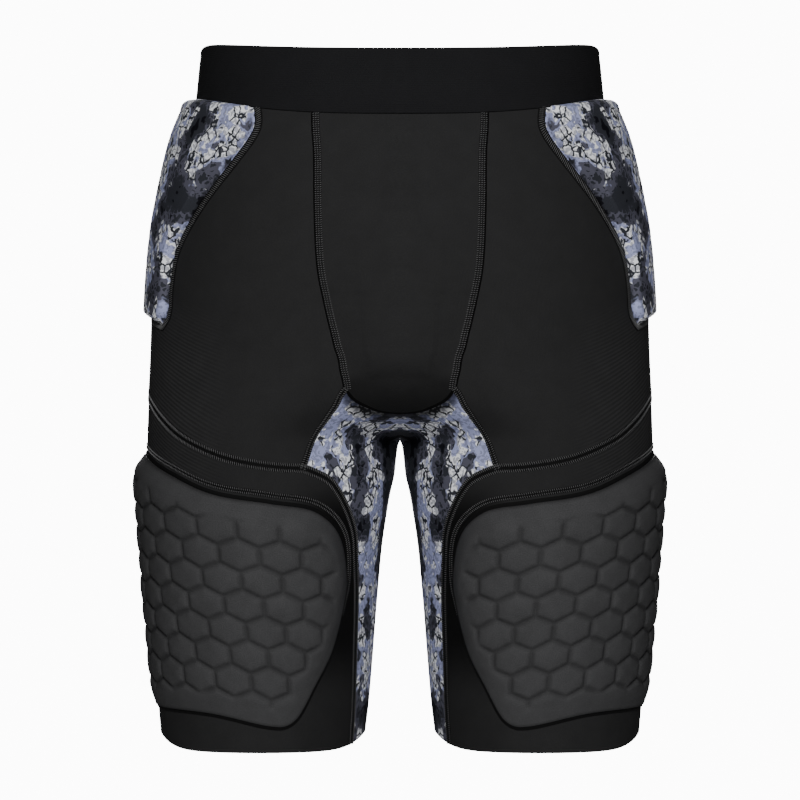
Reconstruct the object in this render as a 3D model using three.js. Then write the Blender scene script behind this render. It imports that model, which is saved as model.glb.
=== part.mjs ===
// Padded compression shorts, as they sit when worn: a shell of sewn stretch panels, a padded tile over
// each hip and a cell-pattern foam pad on each thigh.
// Millimetres, +Z up. Seen from the front, +X is to the right, and the front faces -Y.
// The origin is the middle of the waist opening, at half the waistband's height in front.
import * as THREE from "three";

// Overall sizes
const RISE = 260; // waistband's top edge down to the crotch
const INSEAM = 207; // crotch down to the hems
const WIDEST = 344; // across both thighs, pads left out
const FRONT_REACH = 108; // side line forward to the belly
const BACK_REACH = 125; // side line back to the seat
const HEM_GAP = 49.5; // between the two legs at the hems
const HEM_LIFT = 10; // hem's rise at the outer and the inner side of each leg

// Cloth
const CLOTH = 2; // wall of every sewn panel
const SEAM_GAP = 0.3; // between neighbouring panels

// Waistband
const BAND_SIDE = 28.5; // height at the sides
const BAND_MIDDLE = 43.5; // height in the middle of the front and back
const BAND_WALL = 3.2;
const BAND_PROUD = 0.6; // how far it stands out over the panels
const BAND_DIP = 6; // how far the top edge sags at the sides

// Pouch
const POUCH_RISE = 7; // fullest swell over the body's surface

// Hip pads
const HIP_PAD_HEIGHT = 155.5; // waistband's lower edge at the side down to the pad's tip
const HIP_PAD_RISE = 9.5; // over the panels, near the waistband

// Thigh pads
const THIGH_PAD_HEIGHT = 180;
const THIGH_PAD_WIDTH = 252; // round the leg
const THIGH_PAD_HEM = 18; // lower edge above the hem
const THIGH_PAD_RISE = 9; // over the cloth, along the upper edge
const THIGH_PAD_FOOT = 3.6; // over the cloth, along the lower edge
const THIGH_PAD_BEVEL = 10; // width of the sloping border
const THIGH_PAD_EDGE = 1.4; // height of the outermost edge over the cloth
const PAD_GAP = 0.8; // pad's back over the cloth, whose flat facets it clears
const CELL_WIDTH = 26.4; // one cell, measured along its row
const CELL_PITCH = 16.8; // from one row of cells to the next
const CELL_LEAN = 3; // how far each row is shifted towards the inner leg
const CELL_TURN = 4.6; // degrees that the rows fall towards the inner leg
const GROOVE_WIDTH = 3;
const GROOVE_DEPTH = 1.3;

// The body's cross-sections. level is 0 at the waist's top edge, 1 at the crotch and 2 at the hems.
// width is a share of half WIDEST, front of FRONT_REACH, back of BACK_REACH and gap of half HEM_GAP.
// blend (a share of half WIDEST) is how softly the two thighs run into each other in the middle, and
// lapFront and lapBack (the same share) are how deep they run into each other above the crotch.
const SECTIONS = [
  { level: 0.0, width: 0.785, front: 0.86, back: 0.7, blend: 0.4, lapFront: 0.589, lapBack: 0.589, gap: 0 },
  { level: 0.12, width: 0.806, front: 0.9, back: 0.74, blend: 0.4, lapFront: 0.598, lapBack: 0.598, gap: 0 },
  { level: 0.226, width: 0.866, front: 0.935, back: 0.82, blend: 0.4, lapFront: 0.623, lapBack: 0.609, gap: 0 },
  { level: 0.345, width: 0.913, front: 0.97, back: 0.92, blend: 0.39, lapFront: 0.65, lapBack: 0.595, gap: 0 },
  { level: 0.462, width: 0.949, front: 0.99, back: 0.985, blend: 0.37, lapFront: 0.673, lapBack: 0.569, gap: 0 },
  { level: 0.58, width: 0.97, front: 1.0, back: 1.0, blend: 0.34, lapFront: 0.684, lapBack: 0.52, gap: 0 },
  { level: 0.657, width: 0.979, front: 0.995, back: 0.99, blend: 0.32, lapFront: 0.675, lapBack: 0.459, gap: 0 },
  { level: 0.776, width: 0.985, front: 0.98, back: 0.95, blend: 0.28, lapFront: 0.613, lapBack: 0.339, gap: 0 },
  { level: 0.893, width: 0.993, front: 0.95, back: 0.88, blend: 0.2, lapFront: 0.291, lapBack: 0.182, gap: 0 },
  { level: 1.0, width: 0.998, front: 0.9, back: 0.82, blend: 0.12, lapFront: 0, lapBack: 0, gap: 0 },
  { level: 1.111, width: 1.0, front: 0.87, back: 0.785, blend: 0.06, lapFront: 0, lapBack: 0, gap: 0.194 },
  { level: 1.21, width: 0.996, front: 0.845, back: 0.76, blend: 0.02, lapFront: 0, lapBack: 0, gap: 0.355 },
  { level: 1.31, width: 0.988, front: 0.82, back: 0.735, blend: 0.004, lapFront: 0, lapBack: 0, gap: 0.469 },
  { level: 1.506, width: 0.977, front: 0.77, back: 0.69, blend: 0.001, lapFront: 0, lapBack: 0, gap: 0.618 },
  { level: 1.702, width: 0.963, front: 0.72, back: 0.645, blend: 0.001, lapFront: 0, lapBack: 0, gap: 0.743 },
  { level: 1.851, width: 0.955, front: 0.69, back: 0.62, blend: 0.001, lapFront: 0, lapBack: 0, gap: 0.848 },
  { level: 2.0, width: 0.94, front: 0.665, back: 0.6, blend: 0.001, lapFront: 0, lapBack: 0, gap: 1.0 },
];

// Where seams meet, on one side. turn is the angle round the leg in degrees: 0 on the outer side line,
// 90 towards the front, 180 on the inner side, and negative towards the back. level is as in SECTIONS.
const CORNER = {
  pouchFoot: { turn: 102.6, level: 0.866 },
  crotchFront: { turn: 115.3, level: 1.0 },
  thighFront: { turn: 110.0, level: 1.085 },
  side: { turn: 0.0, level: 0.875 },
  thighBack: { turn: -114.0, level: 1.09 },
  crotchBack: { turn: -122.0, level: 1.0 },
  seatFoot: { turn: -118.0, level: 0.93 },
};

// Seams of one side.
const POUCH_SEAM = [
  { turn: 73.1, level: 0.159 },
  { turn: 75.9, level: 0.262 },
  { turn: 78.0, level: 0.414 },
  { turn: 79.9, level: 0.558 },
  { turn: 83.9, level: 0.702 },
  { turn: 87.7, level: 0.775 },
  { turn: 95.9, level: 0.836 },
  CORNER.pouchFoot,
];
const POUCH_ARC = [
  CORNER.pouchFoot,
  { turn: 112.1, level: 0.897 },
  { turn: 124.1, level: 0.92 },
];
const POUCH_ARC_MIDDLE = 0.928; // level where the arc meets the middle line
const GUSSET_SEAM_UPPER = [
  CORNER.pouchFoot,
  { turn: 107.6, level: 0.915 },
  { turn: 113.2, level: 0.955 },
  CORNER.crotchFront,
];
const GUSSET_SEAM_LOWER = [CORNER.crotchFront, { turn: 114.3, level: 1.03 }, CORNER.thighFront];
const THIGH_SEAM_FRONT = [
  CORNER.thighFront,
  { turn: 86.0, level: 1.061 },
  { turn: 69.5, level: 1.036 },
  { turn: 55.4, level: 0.999 },
  { turn: 44.5, level: 0.977 },
  { turn: 32.3, level: 0.942 },
  { turn: 17.3, level: 0.902 },
  CORNER.side,
];
const LEG_SEAM_FRONT = [
  CORNER.thighFront,
  { turn: 116.5, level: 1.103 },
  { turn: 123.2, level: 1.131 },
  { turn: 130.8, level: 1.203 },
  { turn: 138.7, level: 1.296 },
  { turn: 141.7, level: 1.38 },
  { turn: 144.9, level: 1.52 },
  { turn: 147.4, level: 1.745 },
  { turn: 151.0, level: 2.0 },
];
const THIGH_SEAM_BACK = [
  CORNER.side,
  { turn: -20.0, level: 0.885 },
  { turn: -45.0, level: 0.93 },
  { turn: -70.0, level: 0.995 },
  { turn: -92.0, level: 1.045 },
  CORNER.thighBack,
];
const LEG_SEAM_BACK = [
  CORNER.thighBack,
  { turn: -124.0, level: 1.13 },
  { turn: -131.0, level: 1.2 },
  { turn: -138.0, level: 1.3 },
  { turn: -144.0, level: 1.45 },
  { turn: -148.0, level: 1.7 },
  { turn: -151.0, level: 2.0 },
];
const GUSSET_BACK_LOWER = [CORNER.crotchBack, { turn: -119.5, level: 1.04 }, CORNER.thighBack];
const GUSSET_BACK_UPPER = [CORNER.seatFoot, { turn: -121.0, level: 0.965 }, CORNER.crotchBack];
const GUSSET_BACK_TOP = 0.88; // level where the gusset ends on the middle line behind

// Edges of the hip pad: along is a share of HIP_PAD_HEIGHT below the waistband's edge at the side.
const HIP_CORNER = {
  front: { turn: 22.6, along: 1.0 },
  side: { turn: 0.0, along: 0.955 },
  back: { turn: -15.0, along: 0.92 },
};
const HIP_PAD_FRONT = [
  { turn: 54.5, along: 0.06 },
  { turn: 57.2, along: 0.164 },
  { turn: 52.1, along: 0.289 },
  { turn: 40.2, along: 0.486 },
  { turn: 30.5, along: 0.672 },
  { turn: 28.3, along: 0.806 },
  { turn: 28.0, along: 0.94 },
  HIP_CORNER.front,
];
const HIP_PAD_BACK = [
  { turn: -46.0, along: 0.05 },
  { turn: -45.5, along: 0.18 },
  { turn: -39.0, along: 0.34 },
  { turn: -30.0, along: 0.52 },
  { turn: -22.5, along: 0.7 },
  { turn: -19.5, along: 0.83 },
  HIP_CORNER.back,
];
const HIP_TIP_FRONT = [HIP_CORNER.front, { turn: 11.0, along: 0.975 }, HIP_CORNER.side];
const HIP_TIP_BACK = [HIP_CORNER.side, { turn: -8.0, along: 0.943 }, HIP_CORNER.back];

// Outline of the thigh pad: across is a share of half its width, positive towards the inner leg, and
// along is a share of its height from its top edge.
const THIGH_PAD_OUTLINE = [
  { across: -0.53, along: 0.0 },
  { across: -0.397, along: 0.006 },
  { across: -0.079, along: 0.067 },
  { across: 0.229, along: 0.143 },
  { across: 0.531, along: 0.177 },
  { across: 0.77, along: 0.209 },
  { across: 0.927, along: 0.302 },
  { across: 1.0, along: 0.461 },
  { across: 0.993, along: 0.54 },
  { across: 0.924, along: 0.722 },
  { across: 0.817, along: 0.854 },
  { across: 0.714, along: 0.972 },
  { across: 0.647, along: 0.999 },
  { across: 0.564, along: 0.999 },
  { across: 0.2, along: 0.954 },
  { across: -0.352, along: 0.941 },
  { across: -0.7, along: 0.925 },
  { across: -0.93, along: 0.84 },
  { across: -1.0, along: 0.56 },
  { across: -0.977, along: 0.26 },
  { across: -0.86, along: 0.07 },
  { across: -0.7, along: 0.01 },
];
const THIGH_PAD_TURN = 45.4; // degrees from the side line to the middle of the pad
const CELL_START = { across: 0.59, along: 0.373 }; // middle of the cell that the rows are counted from

// How many flat steps each stretch is cut into
const STEPS = {
  pouchTop: 4,
  pouchSeam: 9,
  frontTop: 10,
  gussetUpper: 3,
  gussetLower: 3,
  hipTop: 8,
  hipEdge: 9,
  hipTip: 4,
  sideSeam: 2,
  legSeam: 10,
  thighBack: 9,
  gussetBackTop: 3,
  gussetBackUpper: 2,
  padOutline: 44,
};

const DEGREE = Math.PI / 180;
const HALF_WIDTH = WIDEST / 2;
const TOP = BAND_MIDDLE / 2;
const FULL_DROP = RISE + INSEAM;
const SLOPE_STEP = 0.2; // mm up and down over which the surface's slope is read
const ON_MIDDLE = 1e-3; // a point this near to x = 0 is on the middle line
const SHOULDER_INSET = 0.35; // share of the bevel's width at which its slope eases
const SHOULDER_RISE = 0.68; // share of the bevel's height reached there

function dropOf(level) {
  return level <= 1 ? level * RISE : RISE + (level - 1) * INSEAM;
}

// A smooth curve through the rows that never swings past them.
function smoothColumn(places, values) {
  const last = places.length - 1;
  const steps = places.slice(1).map((place, i) => place - places[i]);
  const slopes = steps.map((step, i) => (values[i + 1] - values[i]) / step);
  const tangents = places.map((_, i) => {
    if (i === 0 || i === last) return slopes[i === 0 ? 0 : last - 1];
    if (slopes[i - 1] * slopes[i] <= 0) return 0;
    const before = 2 * steps[i] + steps[i - 1];
    const after = steps[i] + 2 * steps[i - 1];
    return (before + after) / (before / slopes[i - 1] + after / slopes[i]);
  });
  return (place) => {
    const at = Math.min(Math.max(place, places[0]), places[last]);
    let i = 0;
    while (i < last - 1 && at > places[i + 1]) i += 1;
    const t = (at - places[i]) / steps[i];
    const rise = t * t * (3 - 2 * t);
    const start = steps[i] * tangents[i] * t * (1 - t) * (1 - t);
    const end = steps[i] * tangents[i + 1] * t * t * (t - 1);
    return values[i] * (1 - rise) + values[i + 1] * rise + start + end;
  };
}

function sectionColumn(valueOf) {
  return smoothColumn(SECTIONS.map((row) => dropOf(row.level)), SECTIONS.map(valueOf));
}

// How far the legs' inner faces are apart (above 0) or run into each other (below 0).
function forkOf(row, lap) {
  const blend = row.blend * HALF_WIDTH;
  return row.level < 1 ? -lap * HALF_WIDTH : Math.hypot((row.gap * HEM_GAP) / 2, blend) - blend;
}

const column = {
  width: sectionColumn((row) => row.width * HALF_WIDTH),
  blend: sectionColumn((row) => row.blend * HALF_WIDTH),
  front: sectionColumn((row) => row.front * FRONT_REACH),
  back: sectionColumn((row) => row.back * BACK_REACH),
  forkFront: sectionColumn((row) => forkOf(row, row.lapFront)),
  forkBack: sectionColumn((row) => forkOf(row, row.lapBack)),
};

// One leg's section is an ellipse in a stretched x, so that both legs melt into one body above.
function sectionAt(drop, isFront) {
  const blend = column.blend(drop);
  const outer = Math.hypot(column.width(drop), blend);
  const inner = blend + (isFront ? column.forkFront(drop) : column.forkBack(drop));
  const centre = (outer + inner) / 2;
  const half = (outer - inner) / 2;
  const reach = isFront ? column.front(drop) : column.back(drop);
  const middle = (blend - centre) / half;
  const depth = middle > 0 ? reach / Math.sqrt(1 - middle * middle) : reach;
  return { blend, centre, half, depth, middle };
}

// The turn at which the surface reaches the middle line, or 180 where the legs stand apart.
function middleTurn(drop, isFront) {
  return Math.acos(THREE.MathUtils.clamp(sectionAt(drop, isFront).middle, -1, 1)) / DEGREE;
}

function surfacePoint(turn, drop) {
  const around = turn > 180 ? turn - 360 : turn;
  const section = sectionAt(drop, around >= 0);
  const stretched = section.centre + section.half * Math.cos(around * DEGREE);
  const x = Math.sqrt(Math.max(stretched * stretched - section.blend * section.blend, 0));
  const y = -section.depth * Math.sin(around * DEGREE);
  return new THREE.Vector3(x < ON_MIDDLE ? 0 : x, y, TOP - drop);
}

// The surface is where this is 0, and its steepest way up points out of the body.
function bodyField(x, y, drop) {
  const section = sectionAt(drop, y <= 0);
  const across = (Math.hypot(x, section.blend) - section.centre) / section.half;
  return across * across + (y / section.depth) ** 2 - 1;
}

function surfaceNormal(point) {
  const drop = TOP - point.z;
  const section = sectionAt(drop, point.y <= 0);
  const stretched = Math.hypot(point.x, section.blend);
  const across = (2 * (stretched - section.centre)) / section.half ** 2;
  const above = bodyField(point.x, point.y, drop - SLOPE_STEP);
  const below = bodyField(point.x, point.y, drop + SLOPE_STEP);
  const normal = new THREE.Vector3(
    (across * point.x) / stretched,
    (2 * point.y) / section.depth ** 2,
    (above - below) / (2 * SLOPE_STEP),
  );
  return normal.normalize();
}

function bandEdge(turn) {
  return BAND_SIDE + (BAND_MIDDLE - BAND_SIDE) * Math.sin(turn * DEGREE) ** 2;
}

function bandTop(turn) {
  return BAND_DIP * Math.cos(turn * DEGREE) ** 40;
}

function hemDrop(turn) {
  return FULL_DROP - HEM_LIFT * Math.cos(turn * DEGREE) ** 8;
}

function hipPadDrop(along) {
  return BAND_SIDE + along * HIP_PAD_HEIGHT;
}

// Lines on the surface are walked in (turn, drop) and cut into equal steps measured on the surface.
function evenly(path, steps) {
  const DENSE = 400;
  const flat = Array.from({ length: DENSE + 1 }, (_, i) => path(i / DENSE));
  const solid = flat.map((spot) => surfacePoint(spot.x, spot.y));
  const lengths = [0];
  for (let i = 1; i <= DENSE; i += 1) lengths.push(lengths[i - 1] + solid[i].distanceTo(solid[i - 1]));
  const picked = [flat[0]];
  let at = 0;
  for (let k = 1; k < steps; k += 1) {
    const wanted = (lengths[DENSE] * k) / steps;
    while (lengths[at + 1] < wanted) at += 1;
    picked.push(path((at + (wanted - lengths[at]) / (lengths[at + 1] - lengths[at])) / DENSE));
  }
  picked.push(flat[DENSE]);
  return picked;
}

function through(spots, steps) {
  const curve = new THREE.SplineCurve(spots);
  return evenly((t) => curve.getPoint(t), steps);
}

function seamSpots(rows) {
  return rows.map((row) => new THREE.Vector2(row.turn, dropOf(row.level)));
}

function hipSpots(rows) {
  return rows.map((row) => new THREE.Vector2(row.turn, hipPadDrop(row.along)));
}

function startOnBand(spots) {
  return [new THREE.Vector2(spots[0].x, bandEdge(spots[0].x)), ...spots.slice(1)];
}

function endOnHem(spots) {
  const last = spots[spots.length - 1];
  return [...spots.slice(0, -1), new THREE.Vector2(last.x, hemDrop(last.x))];
}

// The middle line of the front or the back, with drop eased so that the curl under the crotch is kept.
function middleLine(fromDrop, toDrop, isFront, steps) {
  const side = isFront ? 1 : -1;
  const path = (t) => {
    const drop = toDrop - (toDrop - fromDrop) * (1 - t) ** 2;
    return new THREE.Vector2(side * middleTurn(drop, isFront), drop);
  };
  return evenly(path, steps);
}

function alongBand(fromTurn, toTurn, steps) {
  const path = (t) => {
    const turn = fromTurn + (toTurn - fromTurn) * t;
    return new THREE.Vector2(turn, bandEdge(turn));
  };
  return evenly(path, steps);
}

function alongHem(fromTurn, toTurn, steps) {
  const path = (t) => {
    const turn = fromTurn + (toTurn - fromTurn) * t;
    return new THREE.Vector2(turn, hemDrop(turn));
  };
  return evenly(path, steps);
}

function crotchRow(fromTurn, toTurn, steps) {
  return evenly((t) => new THREE.Vector2(fromTurn + (toTurn - fromTurn) * t, RISE), steps);
}

function joined(...lines) {
  return lines.flatMap((line, i) => (i === 0 ? line : line.slice(1)));
}

function reversed(line) {
  return [...line].reverse();
}

// Back of the leg counted on past the inner side, from 180 up.
function pastInner(line) {
  return line.map((spot) => new THREE.Vector2(spot.x + 360, spot.y));
}

// Where the band's lower edge meets the middle line.
function bandMiddle(isFront) {
  let drop = BAND_MIDDLE;
  for (let i = 0; i < 20; i += 1) drop = bandEdge(middleTurn(drop, isFront));
  return new THREE.Vector2((isFront ? 1 : -1) * middleTurn(drop, isFront), drop);
}

const frontTop = bandMiddle(true);
const backTop = bandMiddle(false);
const arcDrop = dropOf(POUCH_ARC_MIDDLE);
const gussetBackDrop = dropOf(GUSSET_BACK_TOP);
const arcMiddle = new THREE.Vector2(middleTurn(arcDrop, true), arcDrop);
const gussetBackMiddle = new THREE.Vector2(-middleTurn(gussetBackDrop, false), gussetBackDrop);
const hemFront = LEG_SEAM_FRONT[LEG_SEAM_FRONT.length - 1].turn;
const hemBack = LEG_SEAM_BACK[LEG_SEAM_BACK.length - 1].turn;
const sideTop = hipSpots([HIP_CORNER.side])[0];
const sideFoot = seamSpots([CORNER.side])[0];
const seatFoot = seamSpots([CORNER.seatFoot])[0];
const legSteps = STEPS.frontTop + STEPS.thighBack;
const gussetSteps = STEPS.pouchTop + STEPS.gussetBackTop;
const outerSteps = STEPS.hipEdge + STEPS.hipTip + STEPS.sideSeam;
const seatSteps = outerSteps - STEPS.gussetBackTop - STEPS.gussetBackUpper - STEPS.gussetLower;

// Every line is cut once, and the pieces on both sides of it share the cuts.
const line = {
  pouchBand: alongBand(POUCH_SEAM[0].turn, frontTop.x, STEPS.pouchTop),
  frontBand: alongBand(HIP_PAD_FRONT[0].turn, POUCH_SEAM[0].turn, STEPS.frontTop),
  hipBand: alongBand(HIP_PAD_FRONT[0].turn, HIP_PAD_BACK[0].turn, STEPS.hipTop),
  seatBand: alongBand(HIP_PAD_BACK[0].turn, backTop.x, STEPS.thighBack),
  pouchSeam: through(startOnBand(seamSpots(POUCH_SEAM)), STEPS.pouchSeam),
  pouchArc: through([...seamSpots(POUCH_ARC), arcMiddle], STEPS.pouchTop),
  pouchMiddle: middleLine(frontTop.y, arcDrop, true, STEPS.pouchSeam),
  gussetUpper: through(seamSpots(GUSSET_SEAM_UPPER), STEPS.gussetUpper),
  gussetLower: through(seamSpots(GUSSET_SEAM_LOWER), STEPS.gussetLower),
  gussetMiddle: middleLine(arcDrop, RISE, true, STEPS.gussetUpper),
  gussetBackMiddle: middleLine(gussetBackDrop, RISE, false, STEPS.gussetBackUpper),
  gussetBackTop: through([seatFoot, gussetBackMiddle], STEPS.gussetBackTop),
  gussetBackUpper: through(seamSpots(GUSSET_BACK_UPPER), STEPS.gussetBackUpper),
  gussetBackLower: through(seamSpots(GUSSET_BACK_LOWER), STEPS.gussetLower),
  thighFront: through(seamSpots(THIGH_SEAM_FRONT), STEPS.frontTop),
  thighBack: through(seamSpots(THIGH_SEAM_BACK), STEPS.thighBack),
  legFront: through(endOnHem(seamSpots(LEG_SEAM_FRONT)), STEPS.legSeam),
  legBack: through(endOnHem(seamSpots(LEG_SEAM_BACK)), STEPS.legSeam),
  hipFront: through(startOnBand(hipSpots(HIP_PAD_FRONT)), STEPS.hipEdge),
  hipBack: through(startOnBand(hipSpots(HIP_PAD_BACK)), STEPS.hipEdge),
  hipTipFront: through(hipSpots(HIP_TIP_FRONT), STEPS.hipTip),
  hipTipBack: through(hipSpots(HIP_TIP_BACK), STEPS.hipTip),
  sideSeam: through([sideTop, sideFoot], STEPS.sideSeam),
  seatMiddle: middleLine(backTop.y, gussetBackDrop, false, seatSteps),
  crotchFront: crotchRow(CORNER.crotchFront.turn, 180, STEPS.pouchTop),
  crotchBack: crotchRow(180, CORNER.crotchBack.turn + 360, STEPS.gussetBackTop),
  hemOuter: alongHem(hemFront, hemBack, legSteps),
  hemInner: alongHem(hemFront, hemBack + 360, gussetSteps),
};

function shares(spots) {
  const lengths = [0];
  for (let i = 1; i < spots.length; i += 1) lengths.push(lengths[i - 1] + spots[i].distanceTo(spots[i - 1]));
  return lengths.map((length) => length / lengths[lengths.length - 1]);
}

function walker(spots) {
  const stops = shares(spots);
  return (share) => {
    let i = 0;
    while (i < spots.length - 2 && share > stops[i + 1]) i += 1;
    return spots[i].clone().lerp(spots[i + 1], (share - stops[i]) / (stops[i + 1] - stops[i]));
  };
}

// A four-sided patch between its edges, as rows of spots. gather draws the inner rows to the edges.
function patch(top, bottom, left, right, gather = 0) {
  const eased = (share) => share - (gather * Math.sin(2 * Math.PI * share)) / (2 * Math.PI);
  const edge = (spots) => {
    const stops = shares(spots).map(eased);
    const walk = walker(spots);
    const straight = (share) => spots[0].clone().lerp(spots[spots.length - 1], share);
    return { stops, bend: stops.map((stop) => walk(stop).sub(straight(stop))) };
  };
  const [onTop, onBottom, onLeft, onRight] = [top, bottom, left, right].map(edge);
  const last = { i: top.length - 1, j: left.length - 1 };
  const mix = THREE.MathUtils.lerp;
  const across = top.map((_, i) => mix(onTop.stops[i], onBottom.stops[i], 0.5));
  const down = left.map((_, j) => mix(onLeft.stops[j], onRight.stops[j], 0.5));
  const inside = (i, j) => {
    const u = mix(onTop.stops[i], onBottom.stops[i], down[j]);
    const v = mix(onLeft.stops[j], onRight.stops[j], across[i]);
    const upper = top[0].clone().lerp(top[last.i], u);
    const lower = bottom[0].clone().lerp(bottom[last.i], u);
    const beside = onLeft.bend[j].clone().lerp(onRight.bend[j], u);
    return upper.lerp(lower, v).add(onTop.bend[i].clone().lerp(onBottom.bend[i], v)).add(beside);
  };
  const rows = left.map((_, j) => top.map((_spot, i) => {
    if (j === 0) return top[i];
    if (j === last.j) return bottom[i];
    if (i === 0) return left[j];
    if (i === last.i) return right[j];
    return inside(i, j);
  }));
  return { rows, across, down };
}

// A cloth wall: spots on the surface, each with how far the outside stands over the surface (rise)
// and how far the inside lies under it (sink), and the triangles between them.
class Wall {
  constructor() {
    this.spots = [];
    this.triangles = [];
    this.known = new Map();
  }

  spot(turn, drop, side, rise, sink) {
    const base = surfacePoint(turn, drop);
    const normal = surfaceNormal(base);
    base.x *= side;
    normal.x *= side;
    const key = base.toArray().map((value) => Math.round(value * 1000)).join(" ");
    if (!this.known.has(key)) {
      this.known.set(key, this.spots.length);
      this.spots.push({ base, normal, rise, sink });
    }
    return this.known.get(key);
  }

  // Adds a triangle with its outside facing away from the body.
  triangle(a, b, c) {
    const [p, q, r] = [a, b, c].map((index) => this.spots[index]);
    const facing = q.base.clone().sub(p.base).cross(r.base.clone().sub(p.base));
    const out = p.normal.clone().add(q.normal).add(r.normal);
    this.triangles.push(facing.dot(out) > 0 ? [a, b, c] : [a, c, b]);
  }

  // Adds a grid of spots; swell gives the rise and sink at a place in it.
  grid(sheet, side, swell) {
    const indices = sheet.rows.map((row, j) => row.map((spot, i) => {
      const { rise, sink } = swell(sheet.across[i], sheet.down[j]);
      return this.spot(spot.x, spot.y, side, rise, sink);
    }));
    for (let j = 1; j < indices.length; j += 1) {
      for (let i = 1; i < indices[j].length; i += 1) {
        const [a, b] = [indices[j - 1][i - 1], indices[j - 1][i]];
        const [c, d] = [indices[j][i - 1], indices[j][i]];
        const along = (m, n) => this.spots[m].base.distanceTo(this.spots[n].base);
        const [first, second] = along(a, d) <= along(b, c) ? [[a, b, d], [a, d, c]] : [[a, b, c], [b, d, c]];
        this.triangle(...first);
        this.triangle(...second);
      }
    }
  }

  // The open edges, each as a start and an end with the wall on its left.
  openEdges() {
    const used = new Set(this.triangles.flatMap(([a, b, c]) => [`${a} ${b}`, `${b} ${c}`, `${c} ${a}`]));
    return [...used].map((edge) => edge.split(" ").map(Number)).filter(([a, b]) => !used.has(`${b} ${a}`));
  }

  // Draws the open edges in by half the gap to the neighbouring piece.
  drawIn(edges, distance) {
    const inward = this.spots.map(() => []);
    for (const [a, b] of edges) {
      const way = this.spots[b].base.clone().sub(this.spots[a].base);
      for (const index of [a, b]) inward[index].push(this.spots[index].normal.clone().cross(way).normalize());
    }
    inward.forEach(([first, second], index) => {
      if (!first) return;
      const mitre = first.clone().add(second).multiplyScalar(distance / (1 + first.dot(second)));
      this.spots[index].base.add(mitre);
    });
  }

  geometry(gap) {
    const edges = this.openEdges();
    this.drawIn(edges, gap / 2);
    const outside = this.spots.map((spot) => spot.base.clone().addScaledVector(spot.normal, spot.rise));
    const inside = this.spots.map((spot) => spot.base.clone().addScaledVector(spot.normal, -spot.sink));
    const under = this.spots.length;
    const back = this.triangles.map(([a, b, c]) => [a + under, c + under, b + under]);
    const rim = edges.flatMap(([a, b]) => [[a, a + under, b + under], [a, b + under, b]]);
    return solidGeometry([...outside, ...inside], [...this.triangles, ...back, ...rim]);
  }
}

function solidGeometry(points, triangles) {
  const geometry = new THREE.BufferGeometry();
  geometry.setAttribute("position", new THREE.Float32BufferAttribute(points.flatMap((p) => p.toArray()), 3));
  geometry.setIndex(triangles.flat());
  geometry.computeVertexNormals();
  return geometry;
}

const flatCloth = () => ({ rise: 0, sink: CLOTH });
const LEFT = 1;
const RIGHT = -1;
const SIDES = [{ side: LEFT, name: "left" }, { side: RIGHT, name: "right" }];

function waistband() {
  // along is a share of the band's height and thick a share of its wall, for the rolled top edge.
  const profile = [
    { along: 0, thick: 0.45 },
    { along: 0.045, thick: 0.85 },
    { along: 0.13, thick: 1 },
    { along: 0.55, thick: 1 },
    { along: 1, thick: 1 },
  ];
  const edge = joined(reversed(line.pouchBand), reversed(line.frontBand), line.hipBand, line.seatBand);
  const wall = new Wall();
  const rows = profile.map(({ along }) => edge.map((spot) => {
    const isFront = spot.x >= 0;
    const drop = bandTop(spot.x) * (1 - along) + spot.y * along;
    const turn = (spot.x * middleTurn(drop, isFront)) / middleTurn(spot.y, isFront);
    return new THREE.Vector2(turn, drop);
  }));
  const sheet = { rows, across: edge.map(() => 0), down: profile.map(({ thick }) => thick) };
  const middle = BAND_WALL / 2 - BAND_PROUD;
  const swell = (_, thick) => ({
    rise: (BAND_WALL * thick) / 2 - middle,
    sink: (BAND_WALL * thick) / 2 + middle,
  });
  for (const { side } of SIDES) wall.grid(sheet, side, swell);
  return wall.geometry(SEAM_GAP);
}

function pouchPanel() {
  const sheet = patch(line.pouchBand, line.pouchArc, line.pouchSeam, line.pouchMiddle);
  const swell = (across, down) => {
    const rise = POUCH_RISE * Math.sin((Math.PI * across) / 2) * Math.sin(Math.PI * down ** 2);
    return { rise, sink: CLOTH - rise };
  };
  const wall = new Wall();
  for (const { side } of SIDES) wall.grid(sheet, side, swell);
  return wall.geometry(SEAM_GAP);
}

function frontPanel(side) {
  const outerEdge = joined(line.hipFront, line.hipTipFront, line.sideSeam);
  const innerEdge = joined(line.pouchSeam, line.gussetUpper, line.gussetLower);
  const wall = new Wall();
  wall.grid(patch(line.frontBand, reversed(line.thighFront), outerEdge, innerEdge), side, flatCloth);
  return wall.geometry(SEAM_GAP);
}

function hipPad(side) {
  const BORDER = 0.08; // share of the pad over which its edge rises
  const THINNING = 0.4; // share of the rise that is lost from the waistband to the tip
  const GATHER = 0.72; // how strongly the rows are drawn to the pad's edges
  const shoulder = (share) => THREE.MathUtils.smoothstep(Math.min(share, 1 - share), 0, BORDER);
  const swell = (across, down) => {
    const rise = HIP_PAD_RISE * (1 - THINNING * down) * shoulder(across) * shoulder(down);
    return { rise, sink: CLOTH };
  };
  const tip = joined(line.hipTipFront, line.hipTipBack);
  const wall = new Wall();
  wall.grid(patch(line.hipBand, tip, line.hipFront, line.hipBack, GATHER), side, swell);
  return wall.geometry(SEAM_GAP);
}

function seatPanel() {
  const outerEdge = joined(line.hipBack, reversed(line.hipTipBack), line.sideSeam);
  const gussetEdge = joined(reversed(line.gussetBackTop), line.gussetBackUpper, line.gussetBackLower);
  const sheet = patch(line.seatBand, line.thighBack, outerEdge, joined(line.seatMiddle, gussetEdge));
  const wall = new Wall();
  for (const { side } of SIDES) wall.grid(sheet, side, flatCloth);
  return wall.geometry(SEAM_GAP);
}

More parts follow.
